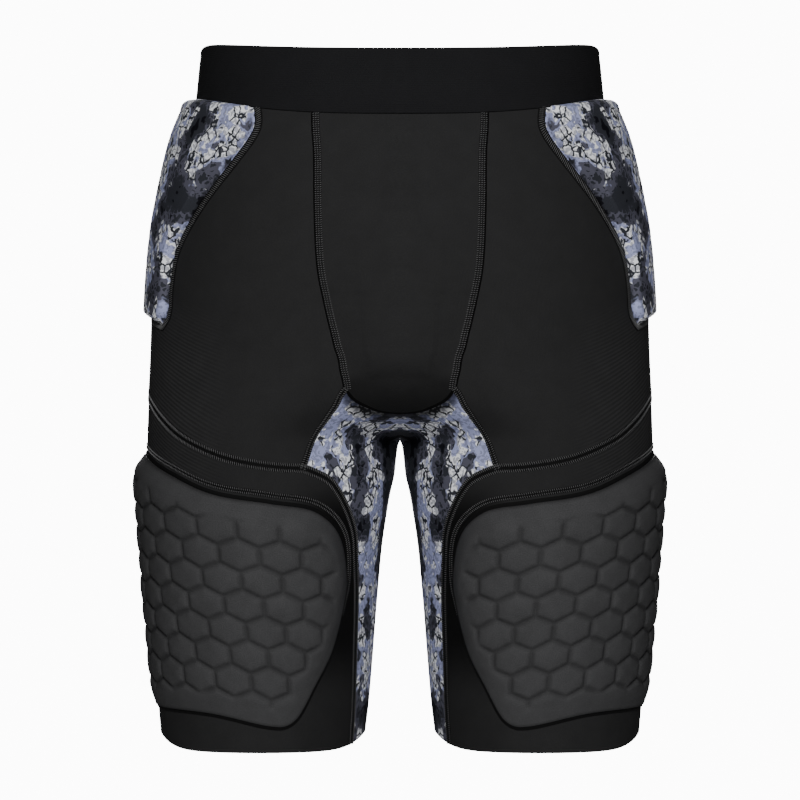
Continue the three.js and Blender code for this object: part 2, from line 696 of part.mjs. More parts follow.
function thighPanel(side) {
  const top = joined(line.thighFront, line.thighBack);
  const wall = new Wall();
  wall.grid(patch(top, line.hemOuter, line.legFront, line.legBack), side, flatCloth);
  return wall.geometry(SEAM_GAP);
}

function gusset() {
  const frontLobe = patch(line.pouchArc, line.crotchFront, line.gussetUpper, line.gussetMiddle);
  const backRow = reversed(line.crotchBack).map((spot) => new THREE.Vector2(spot.x - 360, spot.y));
  const backLobe = patch(line.gussetBackTop, backRow, line.gussetBackUpper, line.gussetBackMiddle);
  const legTop = joined(line.crotchFront, line.crotchBack);
  const legFront = joined(line.gussetLower, line.legFront);
  const legBack = pastInner(joined(line.gussetBackLower, line.legBack));
  const leg = patch(legTop, line.hemInner, legFront, legBack);
  const wall = new Wall();
  for (const { side } of SIDES) {
    for (const sheet of [frontLobe, backLobe, leg]) wall.grid(sheet, side, flatCloth);
  }
  return wall.geometry(SEAM_GAP);
}

// The thigh pad is drawn flat, with x across the pad and y down it, and laid round the leg.
const padTopDrop = FULL_DROP - THIGH_PAD_HEM - THIGH_PAD_HEIGHT;
const padSection = sectionAt(padTopDrop + THIGH_PAD_HEIGHT / 2, true);
const legRadius = (padSection.half + padSection.depth) / 2;

function padFlat({ across, along }) {
  return new THREE.Vector2((across * THIGH_PAD_WIDTH) / 2, along * THIGH_PAD_HEIGHT);
}

function padPoint(flat, height, side) {
  const turn = THIGH_PAD_TURN + flat.x / legRadius / DEGREE;
  const point = surfacePoint(turn, padTopDrop + flat.y);
  const placed = point.clone().addScaledVector(surfaceNormal(point), PAD_GAP + height);
  placed.x *= side;
  return placed;
}

// The pad's full height over its back at a place.
function padHeight(flat) {
  const share = THREE.MathUtils.clamp(flat.y / THIGH_PAD_HEIGHT, 0, 1);
  return THIGH_PAD_RISE + (THIGH_PAD_FOOT - THIGH_PAD_RISE) * share ** 1.5;
}

// The heights over the cloth at which the pad's spots lie.
const PAD_LEVEL = {
  back: () => 0,
  edge: () => THIGH_PAD_EDGE,
  shoulder: (flat) => THIGH_PAD_EDGE + SHOULDER_RISE * (padHeight(flat) - THIGH_PAD_EDGE),
  crest: padHeight,
  groove: (flat) => padHeight(flat) - GROOVE_DEPTH,
};

// A loop moved to its inside (or to its outside, below 0), corner by corner.
function offsetLoop(loop, distance) {
  const turned = THREE.ShapeUtils.isClockWise(loop) ? -1 : 1;
  return loop.map((spot, i) => {
    const before = spot.clone().sub(loop[(i + loop.length - 1) % loop.length]).normalize();
    const after = loop[(i + 1) % loop.length].clone().sub(spot).normalize();
    const normals = [before, after].map((way) => new THREE.Vector2(-way.y, way.x).multiplyScalar(turned));
    const mitre = normals[0].clone().add(normals[1]).divideScalar(1 + normals[0].dot(normals[1]));
    return spot.clone().addScaledVector(mitre, distance);
  });
}

function isInside(spot, loop) {
  return loop.reduce((inside, from, i) => {
    const to = loop[(i + 1) % loop.length];
    const crosses = from.y > spot.y !== to.y > spot.y;
    const x = from.x + ((to.x - from.x) * (spot.y - from.y)) / (to.y - from.y);
    return crosses && spot.x < x ? !inside : inside;
  }, false);
}

// The whole cells that fit inside a loop, each as its middle and six corners.
function wholeCells(loop) {
  const start = padFlat(CELL_START);
  const turned = CELL_TURN * DEGREE;
  const origin = new THREE.Vector2();
  const hexagon = [[0, -2], [1, -1], [1, 1], [0, 2], [-1, 1], [-1, -1]];
  const place = (halves, thirds) => {
    const lean = (CELL_LEAN * thirds) / 3;
    const flat = new THREE.Vector2((CELL_WIDTH * halves) / 2 + lean, (CELL_PITCH * thirds) / 3);
    return flat.rotateAround(origin, turned).add(start);
  };
  const reach = Math.ceil((THIGH_PAD_WIDTH + THIGH_PAD_HEIGHT) / Math.min(CELL_WIDTH, CELL_PITCH));
  const cells = [];
  for (let row = -reach; row <= reach; row += 1) {
    for (let step = -reach; step <= reach; step += 1) {
      const [halves, thirds] = [2 * step + (row % 2), 3 * row];
      const corners = hexagon.map(([x, y]) => place(halves + x, thirds + y));
      const fits = corners.every((corner) => isInside(corner, loop));
      if (fits) cells.push({ middle: place(halves, thirds), corners });
    }
  }
  return cells;
}

const flatKey = (flat) => `${Math.round(flat.x * 100)} ${Math.round(flat.y * 100)}`;

// The outer loop of a set of cells, along the sides that no other cell shares.
function cellLoop(cells) {
  const sidesOf = (corners) => corners.map((from, i) => [from, corners[(i + 1) % corners.length]]);
  const sides = cells.flatMap(({ corners }) => sidesOf(corners));
  const known = new Set(sides.map(([from, to]) => `${flatKey(from)} ${flatKey(to)}`));
  const open = sides.filter(([from, to]) => !known.has(`${flatKey(to)} ${flatKey(from)}`));
  const next = new Map(open.map(([from, to]) => [flatKey(from), [from, to]]));
  const loop = [];
  let key = flatKey(open[0][0]);
  while (next.has(key)) {
    const [from, to] = next.get(key);
    next.delete(key);
    loop.push(from);
    key = flatKey(to);
  }
  return loop;
}

// A closed mesh gathered from flat spots, each on one of the pad's levels.
class PadMesh {
  constructor(side) {
    this.side = side;
    this.points = [];
    this.triangles = [];
    this.known = new Map();
  }

  point([flat, level]) {
    const key = `${level} ${flatKey(flat)}`;
    if (!this.known.has(key)) {
      this.known.set(key, this.points.length);
      this.points.push(padPoint(flat, PAD_LEVEL[level](flat), this.side));
    }
    return this.known.get(key);
  }

  // Adds a triangle; counter-clockwise spots face out of the left pad.
  face(...spots) {
    const indices = spots.map((spot) => this.point(spot));
    this.triangles.push(this.side > 0 ? indices : indices.reverse());
  }

  // Joins two counter-clockwise loops of as many spots, the first one being the outer.
  strip(outer, outerLevel, inner, innerLevel) {
    outer.forEach((spot, i) => {
      const k = (i + 1) % outer.length;
      this.face([spot, outerLevel], [outer[k], outerLevel], [inner[k], innerLevel]);
      this.face([spot, outerLevel], [inner[k], innerLevel], [inner[i], innerLevel]);
    });
  }

  // Adds a triangle of three flat spots on one level.
  flatFace(spots, level, isBack) {
    const ordered = isBack ? [...spots].reverse() : spots;
    this.face(...ordered.map((spot) => [spot, level]));
  }

  // Fills the ground between two counter-clockwise loops, going round both by the nearer next spot.
  fill(outer, inner, level, isBack) {
    const nearest = inner.reduce((best, spot, i) => (
      spot.distanceTo(outer[0]) < inner[best].distanceTo(outer[0]) ? i : best), 0);
    const at = (loop, index) => loop[index % loop.length];
    let [i, k] = [0, nearest];
    while (i < outer.length || k < nearest + inner.length) {
      const outerStep = at(outer, i + 1).distanceTo(at(inner, k));
      const innerStep = at(inner, k + 1).distanceTo(at(outer, i));
      const takesOuter = k === nearest + inner.length || (i < outer.length && outerStep < innerStep);
      const third = takesOuter ? at(outer, i + 1) : at(inner, k + 1);
      this.flatFace([at(outer, i), third, at(inner, k)], level, isBack);
      if (takesOuter) i += 1;
      else k += 1;
    }
  }

  // Closes a cell from its corners to its middle.
  fan(corners, middle, level, isBack) {
    corners.forEach((spot, i) => {
      this.flatFace([spot, corners[(i + 1) % corners.length], middle], level, isBack);
    });
  }
}

function thighPad(side) {
  const rows = THIGH_PAD_OUTLINE.map(padFlat).map(({ x, y }) => new THREE.Vector3(x, y, 0));
  const spaced = new THREE.CatmullRomCurve3(rows, true).getSpacedPoints(STEPS.padOutline).slice(1);
  const outline = spaced.map(({ x, y }) => new THREE.Vector2(x, y));
  const shoulder = offsetLoop(outline, SHOULDER_INSET * THIGH_PAD_BEVEL);
  const crest = offsetLoop(outline, THIGH_PAD_BEVEL);
  const cells = wholeCells(offsetLoop(crest, GROOVE_WIDTH));
  const valley = cellLoop(cells);
  const bank = offsetLoop(valley, -GROOVE_WIDTH / 2);
  const mesh = new PadMesh(side);
  mesh.strip(outline, "back", outline, "edge");
  mesh.strip(outline, "edge", shoulder, "shoulder");
  mesh.strip(shoulder, "shoulder", crest, "crest");
  mesh.fill(crest, bank, "crest", false);
  mesh.strip(bank, "crest", valley, "groove");
  mesh.fill(outline, crest, "back", true);
  mesh.fill(crest, valley, "back", true);
  for (const { corners, middle } of cells) {
    const plate = offsetLoop(corners, GROOVE_WIDTH / 2);
    mesh.strip(corners, "groove", plate, "crest");
    mesh.fan(plate, middle, "crest", false);
    mesh.fan(corners, middle, "back", true);
  }
  return solidGeometry(mesh.points, mesh.triangles);
}

const materialOf = {
  knit: new THREE.MeshStandardMaterial({ color: 0x26272a, roughness: 0.85, metalness: 0 }),
  band: new THREE.MeshStandardMaterial({ color: 0x1e1f21, roughness: 0.9, metalness: 0 }),
  print: new THREE.MeshStandardMaterial({ color: 0x8d90a4, roughness: 0.8, metalness: 0 }),
  foam: new THREE.MeshStandardMaterial({ color: 0x33353a, roughness: 0.8, metalness: 0 }),
};

function piece(name, geometry, material) {
  const mesh = new THREE.Mesh(geometry, material);
  mesh.name = name;
  return mesh;
}

const shorts = new THREE.Group();
shorts.name = "padded_shorts";
shorts.add(piece("waistband", waistband(), materialOf.band));
shorts.add(piece("pouch_panel", pouchPanel(), materialOf.knit));
shorts.add(piece("seat_panel", seatPanel(), materialOf.knit));
shorts.add(piece("gusset", gusset(), materialOf.print));
for (const { side, name } of SIDES) {
  shorts.add(piece(`front_panel_${name}`, frontPanel(side), materialOf.knit));
  shorts.add(piece(`hip_pad_${name}`, hipPad(side), materialOf.print));
  shorts.add(piece(`thigh_panel_${name}`, thighPanel(side), materialOf.knit));
  shorts.add(piece(`thigh_pad_${name}`, thighPad(side), materialOf.foam));
}

export default shorts;
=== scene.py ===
"""Padded compression shorts, dressed and lit.

Everything is drawn on one smooth surface, the body that fills the shorts. A spot on it has a turn, in
degrees round the leg (0 on the outer side line, 90 towards the front, 180 on the inner side, negative
towards the back), and a drop, in millimetres below the waist's top edge. Lengths are in millimetres
until a mesh is made in metres.
"""

import logging
import math
from collections.abc import Callable, Sequence
from dataclasses import dataclass, field
from enum import Enum

import bpy
import numpy as np
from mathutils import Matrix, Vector
from mathutils.geometry import delaunay_2d_cdt


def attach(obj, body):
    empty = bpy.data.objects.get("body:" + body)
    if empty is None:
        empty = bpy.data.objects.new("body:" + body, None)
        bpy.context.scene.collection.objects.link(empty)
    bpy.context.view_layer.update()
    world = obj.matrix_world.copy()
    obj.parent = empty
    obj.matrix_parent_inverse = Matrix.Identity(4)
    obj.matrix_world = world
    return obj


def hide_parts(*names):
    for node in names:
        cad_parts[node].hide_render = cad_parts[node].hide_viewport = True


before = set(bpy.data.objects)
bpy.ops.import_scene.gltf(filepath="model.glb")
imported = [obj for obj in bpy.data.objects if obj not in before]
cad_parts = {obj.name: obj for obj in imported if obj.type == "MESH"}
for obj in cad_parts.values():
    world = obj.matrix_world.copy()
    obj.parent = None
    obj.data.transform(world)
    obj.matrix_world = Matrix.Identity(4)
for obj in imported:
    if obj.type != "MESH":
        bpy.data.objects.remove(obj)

log = logging.getLogger("shorts")

MM = 0.001
ON_MIDDLE = 0.01  # a point this near to x = 0 is on the middle line
EDGE_CLEAR = 0.55  # inner vertices keep this share of their spacing from a mesh's edge
SHARP_ANGLE = 48.0  # degrees; an edge that bends more is shown sharp

Path = Callable[[np.ndarray], np.ndarray]


class Side(Enum):
    """The wearer's side that a piece is on."""

    LEFT = 1
    RIGHT = -1

    @property
    def word(self) -> str:
        """Gives the side's word in a piece's name."""
        return self.name.lower()

    @property
    def mirror(self) -> tuple[int, int, int]:
        """Gives what a point of the left half is multiplied by."""
        return (self.value, 1, 1)

    def turned(self, faces: Sequence[Sequence[int]]) -> Sequence[Sequence[int]]:
        """Gives the left half's faces as they run on this side, where mirrored ones run backwards."""
        return faces if self is Side.LEFT else [face[::-1] for face in faces]


class Slot(Enum):
    """The record's material slots."""

    BAND = "waistband_elastic"
    KNIT = "stretch_knit"
    PRINT = "printed_knit"
    FOAM = "moulded_foam"


# The body's cross-sections: level (0 waist, 1 crotch, 2 hems), width (share of half the widest), front and
# back (shares of the two reaches), blend, lap_front and lap_back (shares of half the widest), and gap
# (share of half the gap between the hems).
SECTIONS = (
    (0.0, 0.785, 0.86, 0.7, 0.4, 0.589, 0.589, 0.0),
    (0.12, 0.806, 0.9, 0.74, 0.4, 0.598, 0.598, 0.0),
    (0.226, 0.866, 0.935, 0.82, 0.4, 0.623, 0.609, 0.0),
    (0.345, 0.913, 0.97, 0.92, 0.39, 0.65, 0.595, 0.0),
    (0.462, 0.949, 0.99, 0.985, 0.37, 0.673, 0.569, 0.0),
    (0.58, 0.97, 1.0, 1.0, 0.34, 0.684, 0.52, 0.0),
    (0.657, 0.979, 0.995, 0.99, 0.32, 0.675, 0.459, 0.0),
    (0.776, 0.985, 0.98, 0.95, 0.28, 0.613, 0.339, 0.0),
    (0.893, 0.993, 0.95, 0.88, 0.2, 0.291, 0.182, 0.0),
    (1.0, 0.998, 0.9, 0.82, 0.12, 0.0, 0.0, 0.0),
    (1.111, 1.0, 0.87, 0.785, 0.06, 0.0, 0.0, 0.194),
    (1.21, 0.996, 0.845, 0.76, 0.02, 0.0, 0.0, 0.355),
    (1.31, 0.988, 0.82, 0.735, 0.004, 0.0, 0.0, 0.469),
    (1.506, 0.977, 0.77, 0.69, 0.001, 0.0, 0.0, 0.618),
    (1.702, 0.963, 0.72, 0.645, 0.001, 0.0, 0.0, 0.743),
    (1.851, 0.955, 0.69, 0.62, 0.001, 0.0, 0.0, 0.848),
    (2.0, 0.94, 0.665, 0.6, 0.001, 0.0, 0.0, 1.0),
)

# Where seams meet on one side, as (turn, level).
POUCH_FOOT = (102.6, 0.866)
THIGH_FRONT = (110.0, 1.085)
SIDE_FOOT = (0.0, 0.875)
THIGH_BACK = (-114.0, 1.09)
CROTCH_BACK = (-122.0, 1.0)
SEAT_FOOT = (-118.0, 0.93)

# Seams of one side, as (turn, level).
POUCH_SEAM = (
    (73.1, 0.159), (75.9, 0.262), (78.0, 0.414), (79.9, 0.558), (82.2, 0.642), (83.9, 0.692), (85.6, 0.73),
    (87.3, 0.762), (89.5, 0.79), (92.7, 0.816), (97.1, 0.84), POUCH_FOOT,
)
POUCH_ARC = (POUCH_FOOT, (112.1, 0.897), (124.1, 0.92))
POUCH_ARC_MIDDLE = 0.928
GUSSET_SIDE = (
    POUCH_FOOT, (106.1, 0.894), (111.1, 0.926), (116.4, 0.958), (118.3, 0.988), (115.5, 1.02), (112.6, 1.054),
    THIGH_FRONT,
)
THIGH_SEAM_FRONT = (
    THIGH_FRONT, (97.3, 1.08), (83.4, 1.066), (71.4, 1.046), (58.1, 1.012), (44.6, 0.978), (29.4, 0.938),
    (15.0, 0.901), SIDE_FOOT,
)
LEG_SEAM_FRONT = (
    THIGH_FRONT, (116.5, 1.103), (123.2, 1.131), (130.8, 1.203), (138.7, 1.296), (141.7, 1.38),
    (144.9, 1.52), (147.4, 1.745), (151.0, 2.0),
)
THIGH_SEAM_BACK = (SIDE_FOOT, (-20.0, 0.885), (-45.0, 0.93), (-70.0, 0.995), (-92.0, 1.045), THIGH_BACK)
LEG_SEAM_BACK = (
    THIGH_BACK, (-124.0, 1.13), (-131.0, 1.2), (-138.0, 1.3), (-144.0, 1.45), (-148.0, 1.7), (-151.0, 2.0),
)
GUSSET_BACK_LOWER = (CROTCH_BACK, (-119.5, 1.04), THIGH_BACK)
GUSSET_BACK_UPPER = (SEAT_FOOT, (-121.0, 0.965), CROTCH_BACK)
GUSSET_BACK_TOP = 0.88

# Edges of the hip pad, as (turn, share of its height below the waistband's edge at the side).
HIP_FRONT_CORNER = (22.6, 1.0)
HIP_SIDE_CORNER = (0.0, 0.955)
HIP_BACK_CORNER = (-15.0, 0.92)
HIP_FRONT = (
    (54.5, 0.06), (57.2, 0.164), (52.1, 0.289), (40.2, 0.486), (30.5, 0.672), (28.3, 0.806), (28.0, 0.94),
    HIP_FRONT_CORNER,
)
HIP_BACK = (
    (-46.0, 0.05), (-45.5, 0.18), (-39.0, 0.34), (-30.0, 0.52), (-22.5, 0.7), (-19.5, 0.83), HIP_BACK_CORNER,
)
HIP_TIP_FRONT = (HIP_FRONT_CORNER, (11.0, 0.975), HIP_SIDE_CORNER)
HIP_TIP_BACK = (HIP_SIDE_CORNER, (-8.0, 0.943), HIP_BACK_CORNER)

# Outline of the thigh pad, as (across, along): shares of half its width, positive towards the inner leg,
# and of its height from the top edge.
THIGH_PAD_OUTLINE = (
    (-0.53, 0.0), (-0.397, 0.006), (-0.079, 0.067), (0.229, 0.143), (0.531, 0.177), (0.77, 0.209),
    (0.927, 0.302), (1.0, 0.461), (0.993, 0.54), (0.924, 0.722), (0.817, 0.854), (0.714, 0.972),
    (0.647, 0.999), (0.564, 0.999), (0.2, 0.954), (-0.352, 0.941), (-0.7, 0.925), (-0.93, 0.84),
    (-1.0, 0.56), (-0.977, 0.26), (-0.86, 0.07), (-0.7, 0.01),
)


def smoothstep(value: np.ndarray, low: float | np.ndarray, high: float | np.ndarray) -> np.ndarray:
    """Rises smoothly from 0 at low to 1 at high."""
    share = np.clip((value - low) / (high - low), 0.0, 1.0)
    return share * share * (3.0 - 2.0 * share)


def smooth_column(places: np.ndarray, values: np.ndarray) -> Callable[[np.ndarray], np.ndarray]:
    """Makes a smooth curve through the rows that never swings past them.

    Args:
        places: where the rows are, rising.
        values: their values.

    Returns:
        A function from places to values.
    """
    steps = np.diff(places)
    slopes = np.diff(values) / steps
    tangents = np.zeros(len(places))
    tangents[0], tangents[-1] = slopes[0], slopes[-1]
    for i in range(1, len(places) - 1):
        if slopes[i - 1] * slopes[i] > 0:
            before, after = 2 * steps[i] + steps[i - 1], steps[i] + 2 * steps[i - 1]
            tangents[i] = (before + after) / (before / slopes[i - 1] + after / slopes[i])

    def column(place: np.ndarray) -> np.ndarray:
        """Gives the curve's value at each place."""
        at = np.clip(place, places[0], places[-1])
        i = np.clip(np.searchsorted(places, at, side="right") - 1, 0, len(places) - 2)
        t = (at - places[i]) / steps[i]
        rise = t * t * (3 - 2 * t)
        bend = steps[i] * (tangents[i] * t * (1 - t) ** 2 + tangents[i + 1] * t * t * (t - 1))
        return values[i] * (1 - rise) + values[i + 1] * rise + bend

    return column


@dataclass
class Body:
    """The smooth form that fills the shorts."""

    rise: float = 260.0
    inseam: float = 207.0
    widest: float = 344.0
    front_reach: float = 108.0
    back_reach: float = 125.0
    hem_gap: float = 49.5
    hem_lift: float = 10.0
    band_side: float = 28.5
    band_middle: float = 43.5
    band_dip: float = 2.5
    band_lift: float = 7.5
    fork_pinch: float = 0.7
    fork_fade: float = 22.0
    hip_pad_height: float = 155.5
    turn_step: float = 0.5
    last_turn: float = 252.0

    def __post_init__(self) -> None:
        """Works out the columns of the section table and the distances round the body."""
        level, width, front, back, blend, lap_front, lap_back, gap = np.array(SECTIONS).T
        half = self.widest / 2
        self.top = self.band_middle / 2
        self.full = self.rise + self.inseam
        drops = self.drop_of(level)
        blends = blend * half
        apart = np.hypot(gap * self.hem_gap / 2, blends) - blends
        self.width = smooth_column(drops, width * half)
        self.blend = smooth_column(drops, blends)
        self.reach = {
            True: smooth_column(drops, front * self.front_reach),
            False: smooth_column(drops, back * self.back_reach),
        }
        self.fork = {
            True: smooth_column(drops, np.where(level < 1, -lap_front * half, apart)),
            False: smooth_column(drops, np.where(level < 1, -lap_back * half, apart)),
        }
        self.turns = np.arange(-180.0, self.last_turn + self.turn_step, self.turn_step)
        self.rows = np.arange(0.0, self.full + 2.0)
        turn, drop = np.meshgrid(self.turns, self.rows)
        points = self.point(turn, drop)
        steps = np.linalg.norm(np.diff(points, axis=1), axis=-1)
        lengths = np.concatenate([np.zeros((len(self.rows), 1)), np.cumsum(steps, axis=1)], axis=1)
        zero = int(round(180.0 / self.turn_step))
        self.lengths = lengths - lengths[:, zero:zero + 1]

    def drop_of(self, level: float | np.ndarray) -> np.ndarray:
        """Gives the drop of a level."""
        level = np.asarray(level, float)
        return np.where(level <= 1, level * self.rise, self.rise + (level - 1) * self.inseam)

    def section(self, drop: np.ndarray, front: np.ndarray) -> tuple[np.ndarray, ...]:
        """Gives the leg's section: an ellipse in a stretched x, so that the legs melt into one body above.

        Args:
            drop: millimetres below the waist's top edge.
            front: whether each spot is on the front half.

        Returns:
            blend, centre, half width, depth, and the cosine of the turn at the middle line.
        """
        blend = self.blend(drop)
        outer = np.hypot(self.width(drop), blend)
        inner = blend + np.where(front, self.fork[True](drop), self.fork[False](drop))
        below = np.maximum(drop - self.rise, 0)
        pinch = 1 - self.fork_pinch * np.exp(-below / self.fork_fade)
        gap = pinch * np.sqrt(np.maximum(inner**2 - blend**2, 0))
        inner = np.where(below > 0, np.hypot(blend, gap), inner)
        centre, half = (outer + inner) / 2, (outer - inner) / 2
        reach = np.where(front, self.reach[True](drop), self.reach[False](drop))
        middle = (blend - centre) / half
        depth = np.where(middle > 0, reach / np.sqrt(np.maximum(1 - middle**2, 1e-9)), reach)
        return blend, centre, half, depth, middle

    def middle_turn(self, drop: np.ndarray, front: bool) -> np.ndarray:
        """Gives the turn at which the surface reaches the middle line."""
        middle = self.section(drop, np.full(np.shape(drop), front))[4]
        return np.degrees(np.arccos(np.clip(middle, -1, 1)))

    def point(self, turn: np.ndarray, drop: np.ndarray) -> np.ndarray:
        """Gives the point of the left half's surface at each spot.

        Args:
            turn: each spot's turn.
            drop: its drop.

        Returns:
            The points, one row each.
        """
        turn, drop = np.asarray(turn, float), np.asarray(drop, float)
        turn = np.where(turn > 180, turn - 360, turn)
        blend, centre, half, depth, _ = self.section(drop, turn >= 0)
        angle = np.radians(turn)
        stretched = centre + half * np.cos(angle)
        x = np.sqrt(np.maximum(stretched**2 - blend**2, 0))
        x = np.where(x < ON_MIDDLE, 0, x)
        return np.stack([x, -depth * np.sin(angle), self.top - drop], -1)

    def normal(self, point: np.ndarray, step: float = 0.2) -> np.ndarray:
        """Gives the direction out of the body at points of its surface.

        Args:
            point: points of the left half's surface.
            step: millimetres up and down over which the slope is read.

        Returns:
            Unit vectors that point out of the body.
        """
        x, y, drop = point[..., 0], point[..., 1], self.top - point[..., 2]

        def steepness(at: np.ndarray) -> np.ndarray:
            """Gives the field whose rise points out of the body."""
            blend, centre, half, depth, _ = self.section(at, y <= 0)
            return ((np.hypot(x, blend) - centre) / half) ** 2 + (y / depth) ** 2

        blend, centre, half, depth, _ = self.section(drop, y <= 0)
        stretched = np.hypot(x, blend)
        across = 2 * (stretched - centre) / half**2 * x / stretched
        upward = (steepness(drop - step) - steepness(drop + step)) / (2 * step)
        way = np.stack([across, 2 * y / depth**2, upward], -1)
        return way / np.linalg.norm(way, axis=-1, keepdims=True)

    def around(self, turn: np.ndarray, drop: np.ndarray) -> np.ndarray:
        """Gives each spot's distance round the body from the side line.

        Args:
            turn: each spot's turn.
            drop: its drop.

        Returns:
            The distances, above 0 towards the front.
        """
        column = np.clip((turn + 180) / self.turn_step, 0, len(self.turns) - 1.001)
        row = np.clip(drop, 0, len(self.rows) - 1.001)
        i, j = row.astype(int), column.astype(int)
        a, b = row - i, column - j
        upper = self.lengths[i, j] * (1 - b) + self.lengths[i, j + 1] * b
        lower = self.lengths[i + 1, j] * (1 - b) + self.lengths[i + 1, j + 1] * b
        return upper * (1 - a) + lower * a

    def turn_at(self, distance: np.ndarray, drop: float) -> np.ndarray:
        """Gives the turns that lie at these distances round the body, all at one drop.

        Args:
            distance: distances round the body.
            drop: the drop that they share.

        Returns:
            The turns.
        """
        i = int(min(drop, len(self.rows) - 2))
        row = self.lengths[i] * (i + 1 - drop) + self.lengths[i + 1] * (drop - i)
        return np.interp(distance, row, self.turns)

    def band_edge(self, turn: np.ndarray) -> np.ndarray:
        """Gives the drop of the waistband's lower edge."""
        return self.band_side + (self.band_middle - self.band_side) * np.sin(np.radians(turn)) ** 2

    def band_top(self, turn: np.ndarray) -> np.ndarray:
        """Gives the drop of the waistband's upper edge, which rises towards the sides."""
        side = np.cos(np.radians(turn)) ** 2
        return self.band_dip * side**20 - self.band_lift * side

    def hem_drop(self, turn: np.ndarray) -> np.ndarray:
        """Gives the drop of a leg's hem."""
        return self.full - self.hem_lift * np.cos(np.radians(turn)) ** 8


def curve_through(spots: Sequence[tuple[float, float]]) -> Path:
    """Makes a smooth open curve through spots.

    Args:
        spots: the spots in order.

    Returns:
        A function from shares of the rows, 0 to 1, to spots.
    """
    rows = np.array(spots, float)
    last = len(rows) - 1

    def path(t: np.ndarray) -> np.ndarray:
        """Gives the curve's spots at shares of its rows."""
        place = np.clip(t, 0, 1) * last
        i = np.minimum(place.astype(int), last - 1)
        w = (place - i)[:, None]
        p0, p1 = rows[np.maximum(i - 1, 0)], rows[i]
        p2, p3 = rows[i + 1], rows[np.minimum(i + 2, last)]
        v0, v1 = (p2 - p0) / 2, (p3 - p1) / 2
        return (2 * p1 - 2 * p2 + v0 + v1) * w**3 + (-3 * p1 + 3 * p2 - 2 * v0 - v1) * w**2 + v0 * w + p1

    return path


def closed_curve(spots: np.ndarray, spacing: float) -> np.ndarray:
    """Makes an evenly spaced closed loop through flat points, with tight bends kept tight.

    Args:
        spots: the points, one row each.
        spacing: wanted distance between the loop's points.

    Returns:
        The loop's points.
    """
    fine = 24
    count = len(spots)
    pieces = []
    for i in range(count):
        p = spots[[(i - 1) % count, i, (i + 1) % count, (i + 2) % count]]
        knots = np.concatenate([[0.0], np.cumsum(np.linalg.norm(np.diff(p, axis=0), axis=1) ** 0.5)])
        t = np.linspace(knots[1], knots[2], fine, endpoint=False)[:, None]

        def blend(a: np.ndarray, b: np.ndarray, low: int, high: int) -> np.ndarray:
            """Mixes two points between two knots."""
            span = knots[high] - knots[low]
            return (knots[high] - t) / span * a + (t - knots[low]) / span * b

        a1, a2, a3 = blend(p[0], p[1], 0, 1), blend(p[1], p[2], 1, 2), blend(p[2], p[3], 2, 3)
        b1, b2 = blend(a1, a2, 0, 2), blend(a2, a3, 1, 3)
        pieces.append(blend(b1, b2, 1, 2))
    dense = np.concatenate(pieces + [pieces[0][:1]])
    along = np.concatenate([[0.0], np.cumsum(np.linalg.norm(np.diff(dense, axis=0), axis=1))])
    stops = np.linspace(0, along[-1], int(round(along[-1] / spacing)), endpoint=False)
    return np.column_stack([np.interp(stops, along, dense[:, k]) for k in range(2)])


def in_loop(points: np.ndarray, loop: np.ndarray) -> np.ndarray:
    """Says which flat points lie inside a closed loop.

    Args:
        points: flat points, one row each.
        loop: the loop's points.

    Returns:
        True for each point inside.
    """
    inside = np.zeros(len(points), bool)
    for (ax, ay), (bx, by) in zip(loop, np.roll(loop, -1, axis=0)):
        if ay == by:
            continue
        crosses = (ay > points[:, 1]) != (by > points[:, 1])
        inside ^= crosses & (points[:, 0] < ax + (bx - ax) * (points[:, 1] - ay) / (by - ay))
    return inside


def loop_distance(points: np.ndarray, loop: np.ndarray, closed: bool = True) -> np.ndarray:
    """Gives each flat point's distance to a line, which is a closed loop unless told otherwise.

    Args:
        points: flat points, one row each.
        loop: the line's points.
        closed: whether its last point is joined to its first.

    Returns:
        The distances.
    """
    nearest = np.full(len(points), np.inf)
    ends = np.roll(loop, -1, axis=0)
    for start, end in zip(loop if closed else loop[:-1], ends):
        way = end - start
        length = max(float(way @ way), 1e-12)
        share = np.clip(((points - start) @ way) / length, 0, 1)
        gap = points - start - share[:, None] * way
        nearest = np.minimum(nearest, np.einsum("ij,ij->i", gap, gap))
    return np.sqrt(nearest)


def loop_area(loop: np.ndarray) -> float:
    """Gives twice a flat closed loop's area, above 0 where it runs counter-clockwise."""
    ahead = np.roll(loop, -1, axis=0)
    return float(np.sum(loop[:, 0] * ahead[:, 1] - ahead[:, 0] * loop[:, 1]))


def way_out(loop: np.ndarray) -> np.ndarray:
    """Gives the flat way out of a closed loop at each of its points.

    Args:
        loop: the loop's points.

    Returns:
        A unit vector for each point.
    """
    way = np.roll(loop, -1, axis=0) - np.roll(loop, 1, axis=0)
    out = np.column_stack([way[:, 1], -way[:, 0]]) / np.linalg.norm(way, axis=1, keepdims=True)
    return out if loop_area(loop) > 0 else -out


def tube_faces(count: int, ring: int, closed: bool) -> list[tuple[int, ...]]:
    """Joins rings of points into a tube.

    Args:
        count: number of rings.
        ring: number of points in each.
        closed: whether the last ring is joined to the first.

    Returns:
        The faces.
    """
    faces = []
    for i in range(count if closed else count - 1):
        here, there = i * ring, (i + 1) % count * ring
        for k in range(ring):
            m = (k + 1) % ring
            faces.append((here + k, there + k, there + m, here + m))
    return faces


